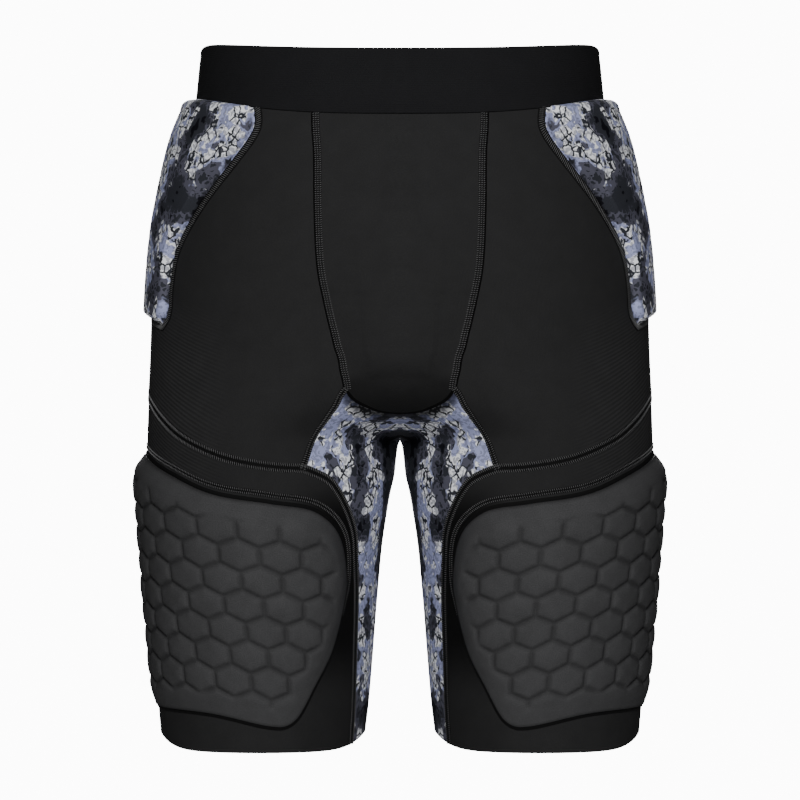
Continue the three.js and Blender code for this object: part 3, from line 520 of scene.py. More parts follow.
def fill_loop(loop: np.ndarray, spacing: float) -> tuple[np.ndarray, np.ndarray]:
    """Meshes the inside of a flat closed loop with even triangles.

    Args:
        loop: the loop's points, which all become vertices.
        spacing: distance between the inner vertices.

    Returns:
        The vertices, with the loop's first, and the triangles, counter-clockwise.
    """
    low, high = loop.min(axis=0), loop.max(axis=0)
    rows = np.arange(low[1] + spacing / 2, high[1], spacing * math.sqrt(3) / 2)
    lines = []
    for k, row in enumerate(rows):
        across = np.arange(low[0] + (k % 2) * spacing / 2, high[0], spacing)
        lines.append(np.column_stack([across, np.full(len(across), row)]))
    inner = np.concatenate(lines)
    inner = inner[in_loop(inner, loop)]
    inner = inner[loop_distance(inner, loop) > EDGE_CLEAR * spacing]
    points = np.concatenate([loop, inner])
    result = delaunay_2d_cdt([Vector(p) for p in points.tolist()], [], [list(range(len(loop)))], 1, 1e-5)
    origin = np.array([ids[0] for ids in result[3]])
    triangles = origin[np.array([list(f) for f in result[2]])]
    a, b, c = (points[triangles[:, k]] for k in range(3))
    area = (b[:, 0] - a[:, 0]) * (c[:, 1] - a[:, 1]) - (b[:, 1] - a[:, 1]) * (c[:, 0] - a[:, 0])
    triangles[area < 0] = triangles[area < 0][:, ::-1]
    return points, triangles[np.abs(area) > 1e-9]


@dataclass
class Sheet:
    """Cloth on the left half of the body: spots, their flat places and the triangles between them."""

    turn: np.ndarray
    drop: np.ndarray
    flat: np.ndarray
    triangles: np.ndarray
    edge: np.ndarray
    base: np.ndarray
    normal: np.ndarray


@dataclass
class Pattern:
    """Every seam line of one side, cut into even steps that the pieces on both sides of it share."""

    body: Body
    spacing: float = 2.4
    lines: dict[str, np.ndarray] = field(default_factory=dict)

    def __post_init__(self) -> None:
        """Draws the lines."""
        body = self.body
        front_top, back_top = self.band_middle(True), self.band_middle(False)
        arc_drop, back_drop = float(body.drop_of(POUCH_ARC_MIDDLE)), float(body.drop_of(GUSSET_BACK_TOP))
        arc_middle = (float(body.middle_turn(arc_drop, True)), arc_drop)
        back_middle = (-float(body.middle_turn(back_drop, False)), back_drop)
        hem_front, hem_back = LEG_SEAM_FRONT[-1][0], LEG_SEAM_BACK[-1][0]
        seat_foot = self.seam([SEAT_FOOT])[0]
        side_top, side_foot = self.hip([HIP_SIDE_CORNER])[0], self.seam([SIDE_FOOT])[0]
        self.lines = {
            "pouch_band": self.along(body.band_edge, POUCH_SEAM[0][0], front_top[0]),
            "front_band": self.along(body.band_edge, HIP_FRONT[0][0], POUCH_SEAM[0][0]),
            "hip_band": self.along(body.band_edge, HIP_FRONT[0][0], HIP_BACK[0][0]),
            "seat_band": self.along(body.band_edge, HIP_BACK[0][0], back_top[0]),
            "pouch_seam": self.even(curve_through(self.on_band(self.seam(POUCH_SEAM)))),
            "pouch_arc": self.even(curve_through([*self.seam(POUCH_ARC), arc_middle])),
            "pouch_middle": self.middle(front_top[1], arc_drop, True),
            "gusset_side": self.even(curve_through(self.seam(GUSSET_SIDE))),
            "gusset_middle": self.middle(arc_drop, body.rise, True),
            "gusset_back_middle": self.middle(back_drop, body.rise, False),
            "gusset_back_top": self.even(curve_through([seat_foot, back_middle])),
            "gusset_back_upper": self.even(curve_through(self.seam(GUSSET_BACK_UPPER))),
            "gusset_back_lower": self.even(curve_through(self.seam(GUSSET_BACK_LOWER))),
            "thigh_front": self.even(curve_through(self.seam(THIGH_SEAM_FRONT))),
            "thigh_back": self.even(curve_through(self.seam(THIGH_SEAM_BACK))),
            "leg_front": self.even(curve_through(self.on_hem(self.seam(LEG_SEAM_FRONT)))),
            "leg_back": self.even(curve_through(self.on_hem(self.seam(LEG_SEAM_BACK)))),
            "hip_front": self.even(curve_through(self.on_band(self.hip(HIP_FRONT)))),
            "hip_back": self.even(curve_through(self.on_band(self.hip(HIP_BACK)))),
            "hip_tip_front": self.even(curve_through(self.hip(HIP_TIP_FRONT))),
            "hip_tip_back": self.even(curve_through(self.hip(HIP_TIP_BACK))),
            "side_seam": self.even(curve_through([side_top, side_foot])),
            "seat_middle": self.middle(back_top[1], back_drop, False),
            "hem_outer": self.along(body.hem_drop, hem_front, hem_back),
            "hem_inner": self.along(body.hem_drop, hem_front, hem_back + 360),
        }
        arc = self.lines["pouch_arc"]
        short = arc[:, 0] < body.middle_turn(arc[:, 1], True) - 0.15
        short[-1] = True
        self.lines["pouch_arc"] = arc[short]

    def seam(self, rows: Sequence[tuple[float, float]]) -> list[tuple[float, float]]:
        """Turns (turn, level) rows into spots."""
        return [(turn, float(self.body.drop_of(level))) for turn, level in rows]

    def hip(self, rows: Sequence[tuple[float, float]]) -> list[tuple[float, float]]:
        """Turns the hip pad's rows into spots."""
        return [(turn, self.body.band_side + share * self.body.hip_pad_height) for turn, share in rows]

    def on_band(self, spots: list[tuple[float, float]]) -> list[tuple[float, float]]:
        """Starts a line on the waistband's lower edge."""
        return [(spots[0][0], float(self.body.band_edge(spots[0][0]))), *spots[1:]]

    def on_hem(self, spots: list[tuple[float, float]]) -> list[tuple[float, float]]:
        """Ends a line on the hem."""
        return [*spots[:-1], (spots[-1][0], float(self.body.hem_drop(spots[-1][0])))]

    def band_middle(self, front: bool) -> tuple[float, float]:
        """Finds where the waistband's lower edge meets the middle line.

        Args:
            front: whether in front or behind.

        Returns:
            The spot.
        """
        drop = self.body.band_middle
        for _ in range(20):
            drop = float(self.body.band_edge(self.body.middle_turn(drop, front)))
        turn = float(self.body.middle_turn(drop, front))
        return (turn if front else -turn, drop)

    def even(self, path: Path) -> np.ndarray:
        """Cuts a path into equal steps measured on the surface.

        Args:
            path: a function from shares, 0 to 1, to spots.

        Returns:
            The spots, with both ends kept.
        """
        dense = path(np.linspace(0, 1, 1601))
        points = self.body.point(dense[:, 0], dense[:, 1])
        along = np.concatenate([[0.0], np.cumsum(np.linalg.norm(np.diff(points, axis=0), axis=1))])
        stops = np.linspace(0, along[-1], max(3, int(round(along[-1] / self.spacing)) + 1))
        spots = np.column_stack([np.interp(stops, along, dense[:, k]) for k in range(2)])
        spots[0], spots[-1] = dense[0], dense[-1]
        return spots

    def along(self, drop_at: Callable[[np.ndarray], np.ndarray], start: float, end: float) -> np.ndarray:
        """Cuts an edge that is given as a drop for each turn.

        Args:
            drop_at: the edge's drop at a turn.
            start: turn of the first spot.
            end: turn of the last spot.

        Returns:
            The spots.
        """

        def path(t: np.ndarray) -> np.ndarray:
            """Gives the edge's spots at shares of the way from start to end."""
            turn = start + (end - start) * t
            return np.column_stack([turn, drop_at(turn)])

        return self.even(path)

    def middle(self, start: float, end: float, front: bool) -> np.ndarray:
        """Cuts the middle line of the front or the back.

        Args:
            start: drop of the first spot.
            end: drop of the last spot.
            front: whether in front or behind.

        Returns:
            The spots.
        """
        sign = 1 if front else -1

        def path(t: np.ndarray) -> np.ndarray:
            """Gives spots of the middle line, closer together where it curls under the crotch."""
            drop = end - (end - start) * (1 - t) ** 2
            return np.column_stack([sign * self.body.middle_turn(drop, front), drop])

        spots = self.even(path)
        spots[:, 0] = sign * (self.body.middle_turn(spots[:, 1], front) + 1e-3)
        return spots

    def loop(self, *names: str, past_inner: Sequence[str] = ()) -> np.ndarray:
        """Joins lines into a closed loop.

        Args:
            names: the lines in order; one with a minus sign in front runs backwards.
            past_inner: lines whose turn is counted on past the inner side.

        Returns:
            The loop's spots.
        """
        spots = []
        for name in names:
            row = self.lines[name.lstrip("-")]
            row = row[::-1] if name.startswith("-") else row
            spots.append((row + [360, 0] if name.lstrip("-") in past_inner else row)[:-1])
        return np.concatenate(spots)

    def sheet(self, loop: np.ndarray, spacing: float) -> Sheet:
        """Meshes the cloth inside a loop of spots.

        Args:
            loop: the closed loop of spots.
            spacing: distance between vertices.

        Returns:
            The sheet, with the loop's spots first.
        """
        body = self.body
        edge = np.column_stack([body.around(loop[:, 0], loop[:, 1]), loop[:, 1]])
        flat, triangles = fill_loop(edge, spacing)
        turn, drop = np.empty(len(flat)), flat[:, 1].copy()
        turn[:len(loop)] = loop[:, 0]
        for row in np.unique(drop[len(loop):]):
            chosen = np.flatnonzero(drop == row)
            chosen = chosen[chosen >= len(loop)]
            turn[chosen] = body.turn_at(flat[chosen, 0], float(row))
        base = body.point(turn, drop)
        normal = body.normal(base)
        a, b, c = (base[triangles[:, k]] for k in range(3))
        facing = np.einsum("ij,ij->i", np.cross(b - a, c - a), normal[triangles].sum(axis=1))
        triangles[facing < 0] = triangles[facing < 0][:, ::-1]
        return Sheet(turn, drop, flat, triangles, edge, base, normal)


def linked(name: str, data: bpy.types.ID) -> bpy.types.Object:
    """Puts an object with this data into the scene, at the origin.

    Args:
        name: the object's name.
        data: its mesh, light or camera.

    Returns:
        The object.
    """
    obj = bpy.data.objects.new(name, data)
    bpy.context.scene.collection.objects.link(obj)
    return obj


def finished_object(
    name: str, points: np.ndarray, faces: Sequence[Sequence[int]], flat: np.ndarray | None,
    masks: dict[str, np.ndarray] | None = None,
) -> bpy.types.Object:
    """Makes an object from points in millimetres.

    Args:
        name: the piece's name.
        points: one row each.
        faces: point numbers, counter-clockwise from outside.
        flat: each point's place on the flat cloth in millimetres, or None.
        masks: extra values of the points, by name.

    Returns:
        The linked object, at the origin.
    """
    mesh = bpy.data.meshes.new(name)
    mesh.from_pydata((points * MM).tolist(), [], [list(f) for f in faces])
    mesh.polygons.foreach_set("use_smooth", np.ones(len(mesh.polygons), bool))
    if flat is not None:
        corner = np.empty(len(mesh.loops), np.int32)
        mesh.loops.foreach_get("vertex_index", corner)
        layer = mesh.uv_layers.new(name="cloth")
        layer.data.foreach_set("uv", (flat[corner] * MM).astype(np.float32).ravel())
    for label, values in (masks or {}).items():
        attribute = mesh.attributes.new(label, "FLOAT", "POINT")
        attribute.data.foreach_set("value", values.astype(np.float32))
    mesh.update()
    mesh.set_sharp_from_angle(angle=math.radians(SHARP_ANGLE))
    return linked(name, mesh)


def mirrored(points: np.ndarray, triangles: np.ndarray) -> tuple[np.ndarray, np.ndarray]:
    """Adds the mirror image of a half, joined to it on the middle line.

    Args:
        points: the left half's points.
        triangles: its triangles.

    Returns:
        For each vertex of the whole, the half's vertex that it copies (counted on for mirrored ones), and
        the triangles of the whole.
    """
    count = len(points)
    off = np.abs(points[:, 0]) > ON_MIDDLE
    twin = np.arange(count)
    twin[off] = count + np.arange(int(off.sum()))
    copies = np.concatenate([np.arange(count), count + np.flatnonzero(off)])
    return copies, np.concatenate([triangles, twin[triangles][:, ::-1]])


def cloth_shell(
    name: str, sheet: Sheet, rise: np.ndarray, sink: np.ndarray, sides: Sequence[Side],
    masks: dict[str, np.ndarray] | None = None,
) -> bpy.types.Object:
    """Makes a closed wall of cloth.

    Args:
        name: the piece's name.
        sheet: the cloth on the left half.
        rise: how far the outside stands over the body.
        sink: how far the inside lies under it.
        sides: one side, or both for a piece that crosses the middle.
        masks: extra values of the sheet's spots, by name.

    Returns:
        The object.
    """
    count = len(sheet.base)
    if len(sides) == 2:
        copies, triangles = mirrored(sheet.base, sheet.triangles)
    elif sides[0] is Side.LEFT:
        copies, triangles = np.arange(count), sheet.triangles
    else:
        copies, triangles = count + np.arange(count), sheet.triangles[:, ::-1]
    row, flip = copies % count, np.where(copies >= count, -1.0, 1.0)
    mirror = np.column_stack([flip, np.ones(len(row)), np.ones(len(row))])
    outer = (sheet.base + sheet.normal * rise[:, None])[row] * mirror
    inner = (sheet.base - sheet.normal * sink[:, None])[row] * mirror
    under = len(row)
    starts = np.concatenate([triangles[:, [0, 1]], triangles[:, [1, 2]], triangles[:, [2, 0]]])
    known = {(a, b) for a, b in starts.tolist()}
    rim = [[a, a + under, b + under, b] for a, b in starts.tolist() if (b, a) not in known]
    faces = triangles.tolist() + (triangles[:, ::-1] + under).tolist() + rim
    flat = np.concatenate([sheet.flat[row]] * 2)
    doubled = {key: np.concatenate([value[row]] * 2) for key, value in (masks or {}).items()}
    return finished_object(name, np.concatenate([outer, inner]), faces, flat, doubled)


class NodeDesk:
    """Adds and links nodes in one tree."""

    def __init__(self, tree: bpy.types.NodeTree) -> None:
        """Keeps the tree."""
        self.tree = tree

    def add(self, kind: str, **settings: object) -> bpy.types.Node:
        """Adds a node and sets its properties.

        Args:
            kind: the node's type.
            settings: its properties, by name.

        Returns:
            The node.
        """
        node = self.tree.nodes.new(kind)
        for key, value in settings.items():
            setattr(node, key, value)
        return node

    def put(self, target: bpy.types.NodeSocket, value: object) -> None:
        """Links a socket, or sets it to a plain value.

        Args:
            target: the socket.
            value: another node's output, or a number, vector, colour or other plain value.
        """
        if isinstance(value, bpy.types.NodeSocket):
            self.tree.links.new(value, target)
        else:
            target.default_value = value

    def math(self, operation: str, *values: object, clamp: bool = False) -> bpy.types.NodeSocket:
        """Adds a math node.

        Args:
            operation: what it does.
            values: what its inputs get.
            clamp: whether the result stays between 0 and 1.

        Returns:
            Its output.
        """
        node = self.add("ShaderNodeMath", operation=operation, use_clamp=clamp)
        for socket, value in zip(node.inputs, values):
            self.put(socket, value)
        return node.outputs[0]

    def vector(self, operation: str, *values: object) -> bpy.types.NodeSocket:
        """Adds a vector math node.

        Args:
            operation: what it does.
            values: what its inputs get.

        Returns:
            Its output.
        """
        node = self.add("ShaderNodeVectorMath", operation=operation)
        for socket, value in zip(node.inputs, values):
            self.put(socket, value)
        return node.outputs[0]

    def mix(self, share: object, first: object, second: object) -> bpy.types.NodeSocket:
        """Mixes two colours.

        Args:
            share: share of the second colour.
            first: the first colour.
            second: the second colour.

        Returns:
            The mixed colour.
        """
        node = self.add("ShaderNodeMix", data_type="RGBA")
        for socket, value in zip([node.inputs[0], node.inputs[6], node.inputs[7]], [share, first, second]):
            self.put(socket, value)
        return node.outputs[2]

    def noise(
        self, vector: object, scale: float, detail: float = 2.0, rough: float = 0.5,
    ) -> bpy.types.NodeSocket:
        """Adds a noise texture and gives its value.

        Args:
            vector: the place.
            scale: how many blotches fit in a metre, roughly.
            detail: how many finer layers lie on it.
            rough: how strong the finer layers are.

        Returns:
            Its output, about 0.5 on average.
        """
        node = self.add("ShaderNodeTexNoise")
        self.put(node.inputs["Vector"], vector)
        self.put(node.inputs["Scale"], scale)
        self.put(node.inputs["Detail"], detail)
        self.put(node.inputs["Roughness"], rough)
        return node.outputs["Fac"]

    def ramp(self, value: object, low: float, high: float) -> bpy.types.NodeSocket:
        """Rises smoothly from 0 at low to 1 at high.

        Args:
            value: the value.
            low: where it starts.
            high: where it ends; below low, the ramp falls.

        Returns:
            Its output.
        """
        node = self.add("ShaderNodeMapRange", interpolation_type="SMOOTHSTEP")
        for key, setting in (("Value", value), ("From Min", low), ("From Max", high)):
            self.put(node.inputs[key], setting)
        return node.outputs[0]


def new_group(name: str, inputs: dict[str, tuple[str, object]], outputs: dict[str, str]) -> tuple:
    """Starts a shader node group.

    Args:
        name: the group's name.
        inputs: socket type and starting value, by name.
        outputs: socket type, by name.

    Returns:
        The group, a desk for it, its input node and its output node.
    """
    group = bpy.data.node_groups.new(name, "ShaderNodeTree")
    for label, (kind, value) in inputs.items():
        socket = group.interface.new_socket(label, in_out="INPUT", socket_type=kind)
        if value is not None:
            socket.default_value = value
    for label, kind in outputs.items():
        group.interface.new_socket(label, in_out="OUTPUT", socket_type=kind)
    desk = NodeDesk(group)
    return group, desk, desk.add("NodeGroupInput"), desk.add("NodeGroupOutput")


def loops_group() -> bpy.types.NodeTree:
    """Makes the knit's fine loops: columns and rows of them, broken up a little.

    Returns:
        The group, with the outputs Height and Tone.
    """
    number = "NodeSocketFloat"
    group, desk, given, made = new_group(
        "knit_loops",
        {"Place": ("NodeSocketVector", None), "Column": (number, 0.9), "Row": (number, 0.7)},
        {"Height": number, "Tone": number},
    )
    split = desk.add("ShaderNodeSeparateXYZ")
    desk.put(split.inputs[0], given.outputs["Place"])
    turn = 2 * math.pi / MM
    column = desk.math("DIVIDE", desk.math("MULTIPLY", split.outputs[0], turn), given.outputs["Column"])
    row = desk.math("DIVIDE", desk.math("MULTIPLY", split.outputs[1], turn), given.outputs["Row"])
    lean = desk.math("MULTIPLY", desk.math("SINE", column), 1.1)
    loops = desk.math("MULTIPLY", desk.math("SINE", desk.math("ADD", row, lean)), 0.5)
    wales = desk.math("MULTIPLY", desk.math("COSINE", column), 0.5)
    fuzz = desk.math("SUBTRACT", desk.noise(given.outputs["Place"], 900.0, 3.0, 0.65), 0.5)
    desk.put(made.inputs["Height"], desk.math("ADD", desk.math("ADD", loops, wales), fuzz))
    patchy = desk.noise(given.outputs["Place"], 60.0, 3.0, 0.6)
    grain = desk.noise(given.outputs["Place"], 1400.0, 1.0, 0.5)
    patchy, grain = desk.math("MULTIPLY", patchy, 0.4), desk.math("MULTIPLY", grain, 0.6)
    desk.put(made.inputs["Tone"], desk.math("ADD", patchy, grain))
    return group


def camouflage_group() -> bpy.types.NodeTree:
    """Makes the print: soft-edged blotches in six tones, with small chips and outlines in the pale ones.

    Returns:
        The group, with the output Color.
    """
    large_scale, medium_scale, small_scale, fine_scale = 26.0, 75.0, 230.0, 420.0
    chip_scale, wander_scale, wander_reach = 120.0, 160.0, 0.006
    colour = "NodeSocketColor"
    group, desk, given, made = new_group(
        "camouflage",
        {
            "Place": ("NodeSocketVector", None),
            "Black": (colour, (0.003, 0.003, 0.006, 1)),
            "Slate": (colour, (0.028, 0.03, 0.038, 1)),
            "Grey": (colour, (0.085, 0.085, 0.115, 1)),
            "Haze": (colour, (0.15, 0.155, 0.22, 1)),
            "Lilac": (colour, (0.36, 0.39, 0.62, 1)),
            "White": (colour, (0.96, 0.97, 1.0, 1)),
        },
        {"Color": colour},
    )
    wander = desk.add("ShaderNodeTexNoise")
    desk.put(wander.inputs["Vector"], given.outputs["Place"])
    desk.put(wander.inputs["Scale"], wander_scale)
    offset = desk.vector("SCALE", desk.vector("SUBTRACT", wander.outputs["Color"], (0.5, 0.5, 0.5)))
    offset.node.inputs["Scale"].default_value = wander_reach
    place = desk.vector("ADD", given.outputs["Place"], offset)
    large = desk.noise(place, large_scale, 1.5, 0.5)
    medium = desk.noise(desk.vector("ADD", place, (0.37, 0.11, 0.23)), medium_scale, 2.0, 0.55)
    small = desk.noise(desk.vector("ADD", place, (0.13, 0.71, 0.47)), small_scale, 1.5, 0.5)
    chips = desk.add("ShaderNodeTexVoronoi", feature="DISTANCE_TO_EDGE")
    desk.put(chips.inputs["Vector"], place)
    desk.put(chips.inputs["Scale"], chip_scale)
    pale = desk.ramp(desk.math("ADD", large, desk.math("MULTIPLY", medium, 0.35)), 0.685, 0.7)
    white = desk.ramp(desk.math("ADD", medium, desk.math("MULTIPLY", small, 0.4)), 0.70, 0.73)
    dark = desk.ramp(desk.math("ADD", large, desk.math("MULTIPLY", small, 0.3)), 0.60, 0.575)
    black = desk.ramp(desk.math("ADD", medium, desk.math("MULTIPLY", large, 0.5)), 0.69, 0.67)
    outline = desk.ramp(chips.outputs["Distance"], 0.09, 0.05)
    cut = desk.math("MULTIPLY", outline, desk.ramp(medium, 0.5, 0.54))
    speck = desk.ramp(desk.math("SUBTRACT", small, desk.math("MULTIPLY", medium, 0.3)), 0.40, 0.42)
    tone = desk.mix(speck, given.outputs["Grey"], given.outputs["Slate"])
    tone = desk.mix(dark, tone, desk.mix(black, given.outputs["Slate"], given.outputs["Black"]))
    light = desk.mix(white, given.outputs["Lilac"], given.outputs["White"])
    fine = desk.noise(desk.vector("ADD", place, (0.51, 0.33, 0.19)), fine_scale, 1.0, 0.5)
    light = desk.mix(desk.math("MULTIPLY", desk.ramp(fine, 0.5, 0.54), 0.6), light, given.outputs["Haze"])
    light = desk.mix(cut, light, given.outputs["Slate"])
    desk.put(made.inputs["Color"], desk.mix(pale, tone, light))
    return group


@dataclass(frozen=True)
class Finish:
    """What every cloth shares: colour, roughness, gloss, and the size, relief and mottle of its loops."""

    name: str
    colour: tuple[float, float, float]
    roughness: float = 0.78
    gloss: float = 0.12
    column: float = 0.9
    row: float = 0.7
    relief: float = 0.00006
    mottle: float = 0.4

    def start(
        self,
    ) -> tuple[bpy.types.Material, NodeDesk, bpy.types.Node, bpy.types.NodeSocket, bpy.types.Node]:
        """Starts the material.

        Returns:
            The material, its desk, its shader, the cloth's own coordinates and the placed loops group.
        """
        material = bpy.data.materials.new(self.name)
        material.use_nodes = True
        desk = NodeDesk(material.node_tree)
        shader = material.node_tree.nodes["Principled BSDF"]
        shader.inputs["Roughness"].default_value = self.roughness
        shader.inputs["Specular IOR Level"].default_value = self.gloss
        place = desk.add("ShaderNodeUVMap", uv_map="cloth").outputs[0]
        loops = desk.add("ShaderNodeGroup", node_tree=bpy.data.node_groups["knit_loops"])
        desk.put(loops.inputs["Place"], place)
        loops.inputs["Column"].default_value = self.column
        loops.inputs["Row"].default_value = self.row
        return material, desk, shader, place, loops

    def relieved(self, desk: NodeDesk, shader: bpy.types.Node, height: bpy.types.NodeSocket) -> None:
        """Gives the shader its bump.

        Args:
            desk: the material's desk.
            shader: its shader.
            height: the height of the relief, in shares of the finish's own.
        """
        bump = desk.add("ShaderNodeBump")
        bump.inputs["Distance"].default_value = self.relief
        desk.put(bump.inputs["Height"], height)
        desk.put(shader.inputs["Normal"], bump.outputs[0])

    def toned(self, desk: NodeDesk, tone: bpy.types.NodeSocket, base: object) -> bpy.types.NodeSocket:
        """Darkens and lightens a colour by the loops' tone."""
        factor = desk.math("MULTIPLY_ADD", desk.math("SUBTRACT", tone, 0.5), 2 * self.mottle, 1.0)
        return self.scaled(desk, base, factor)

    @staticmethod
    def scaled(desk: NodeDesk, base: object, factor: object) -> bpy.types.NodeSocket:
        """Multiplies a colour by a value.

        Args:
            desk: the material's desk.
            base: the colour.
            factor: the value.

        Returns:
            The colour's socket.
        """
        node = desk.add("ShaderNodeVectorMath", operation="SCALE")
        desk.put(node.inputs[0], base)
        desk.put(node.inputs["Scale"], factor)
        return node.outputs[0]

    def material(self) -> bpy.types.Material:
        """Builds the plain cloth.

        Returns:
            The material.
        """
        material, desk, shader, _, loops = self.start()
        colour = self.toned(desk, loops.outputs["Tone"], self.colour)
        desk.put(shader.inputs["Base Color"], colour)
        self.relieved(desk, shader, loops.outputs["Height"])
        return material


@dataclass(frozen=True)
class ShadedKnit(Finish):
    """Plain stretch knit; its side ribs get painted light and shade, and its masks painted deep shade."""

    rib_pitch: float = 2.5
    rib_painted_shading: float = 0.5
    rib_painted_light: float = 0.5
    rib_height: float = 1.2

    def material(self) -> bpy.types.Material:
        """Builds the cloth.

        Returns:
            The material.
        """
        material, desk, shader, _, loops = self.start()
        ribs = desk.add("ShaderNodeAttribute", attribute_name="ribs")
        shade = desk.add("ShaderNodeAttribute", attribute_name="shade")
        strength = desk.add("ShaderNodeAttribute", attribute_name="rib_strength")
        # The rib zone is painted lighter, and the ribs are painted as lighter and darker stripes.
        paler = desk.math("MULTIPLY", strength.outputs["Fac"], self.rib_painted_light)
        wave = desk.math("SINE", desk.math("MULTIPLY", ribs.outputs["Fac"], 2 * math.pi / self.rib_pitch))
        ribbed = desk.math("MULTIPLY", wave, strength.outputs["Fac"])
        lit = desk.math("ADD", desk.math("MULTIPLY_ADD", ribbed, self.rib_painted_shading, 1.0), paler)
        deep = desk.math("SUBTRACT", 1.0, shade.outputs["Fac"])
        colour = self.toned(desk, loops.outputs["Tone"], self.colour)
        colour = self.scaled(desk, colour, desk.math("MULTIPLY", lit, deep))
        desk.put(shader.inputs["Base Color"], colour)
        height = desk.math("ADD", loops.outputs["Height"], desk.math("MULTIPLY", ribbed, self.rib_height))
        self.relieved(desk, shader, height)
        return material


@dataclass(frozen=True)
class Elastic(Finish):
    """Knitted elastic, with fine ribs that run round it."""

    rib_pitch: float = 1.3

    def material(self) -> bpy.types.Material:
        """Builds the elastic.

        Returns:
            The material.
        """
        material, desk, shader, place, loops = self.start()
        split = desk.add("ShaderNodeSeparateXYZ")
        desk.put(split.inputs[0], place)
        round_ribs = 2 * math.pi / (self.rib_pitch * MM)
        wave = desk.math("SINE", desk.math("MULTIPLY", split.outputs[1], round_ribs))
        desk.put(shader.inputs["Base Color"], self.toned(desk, loops.outputs["Tone"], self.colour))
        self.relieved(desk, shader, desk.math("ADD", loops.outputs["Height"], wave))
        return material


@dataclass(frozen=True)
class Print(Finish):
    """Stretch knit with a camouflage print that is the same on both sides."""

    shift: tuple[float, float, float] = (0.46, 0.2, 0.17)

    def material(self) -> bpy.types.Material:
        """Builds the printed cloth.

        Returns:
            The material.
        """
        material, desk, shader, _, loops = self.start()
        printed = desk.add("ShaderNodeGroup", node_tree=bpy.data.node_groups["camouflage"])
        there = desk.add("ShaderNodeSeparateXYZ")
        desk.put(there.inputs[0], desk.add("ShaderNodeTexCoord").outputs["Object"])
        same = desk.add("ShaderNodeCombineXYZ")
        for socket, value in zip(same.inputs, [desk.math("ABSOLUTE", there.outputs[0]), *there.outputs[1:]]):
            desk.put(socket, value)
        desk.put(printed.inputs["Place"], desk.vector("ADD", same.outputs[0], self.shift))
        shade = desk.add("ShaderNodeAttribute", attribute_name="shade")
        deep = desk.math("SUBTRACT", 1.0, shade.outputs["Fac"])
        colour = self.toned(desk, loops.outputs["Tone"], printed.outputs["Color"])
        desk.put(shader.inputs["Base Color"], self.scaled(desk, colour, deep))
        self.relieved(desk, shader, loops.outputs["Height"])
        return material


@dataclass
class Wardrobe:
    """Every finish of the shorts, made once."""

    def __post_init__(self) -> None:
        """Builds the shared groups and the materials."""
        loops_group()
        camouflage_group()
        self.knit = ShadedKnit("black_knit", (0.0175, 0.0175, 0.0179)).material()
        self.band = Elastic("waistband_elastic", (0.0095, 0.0095, 0.0105), roughness=0.85).material()
        self.hip_print = Print("hip_print", (1, 1, 1), roughness=0.7, mottle=0.15).material()
        self.leg_print = Print(
            "inner_leg_print", (1, 1, 1), roughness=0.7, mottle=0.15, shift=(0.31, 0.12, 0.05),
        ).material()
        self.foam = ShadedKnit(
            "moulded_foam_cover", (0.048, 0.048, 0.0495), roughness=0.7, mottle=0.6,
        ).material()
        self.tape = Finish("seam_tape", (0.0035, 0.0035, 0.0036), roughness=0.8).material()
        self.pouch_tape = Finish("pouch_tape", (0.006, 0.006, 0.0062), roughness=0.8).material()
        # A near-black finish for strips that are painted shadow lines.
        self.line = Finish("painted_shadow_line", (0.0008, 0.0008, 0.0008), roughness=0.95).material()
        self.thread = Finish("seam_thread", (0.12, 0.12, 0.122), roughness=0.6).material()


def hand_over(obj: bpy.types.Object, material: bpy.types.Material, slot: Slot, *nodes: str) -> None:
    """Gives a piece its finish and ties it to the frame.

    Args:
        obj: the finished piece.
        material: its finish.
        slot: the record's slot for it; not used.
        nodes: the frame's nodes that it stands for.
    """
    obj.data.materials.clear()
    obj.data.materials.append(material)
    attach(obj, "root")
    if nodes:
        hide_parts(*nodes)
    log.info("%s: %d faces", obj.name, len(obj.data.polygons))


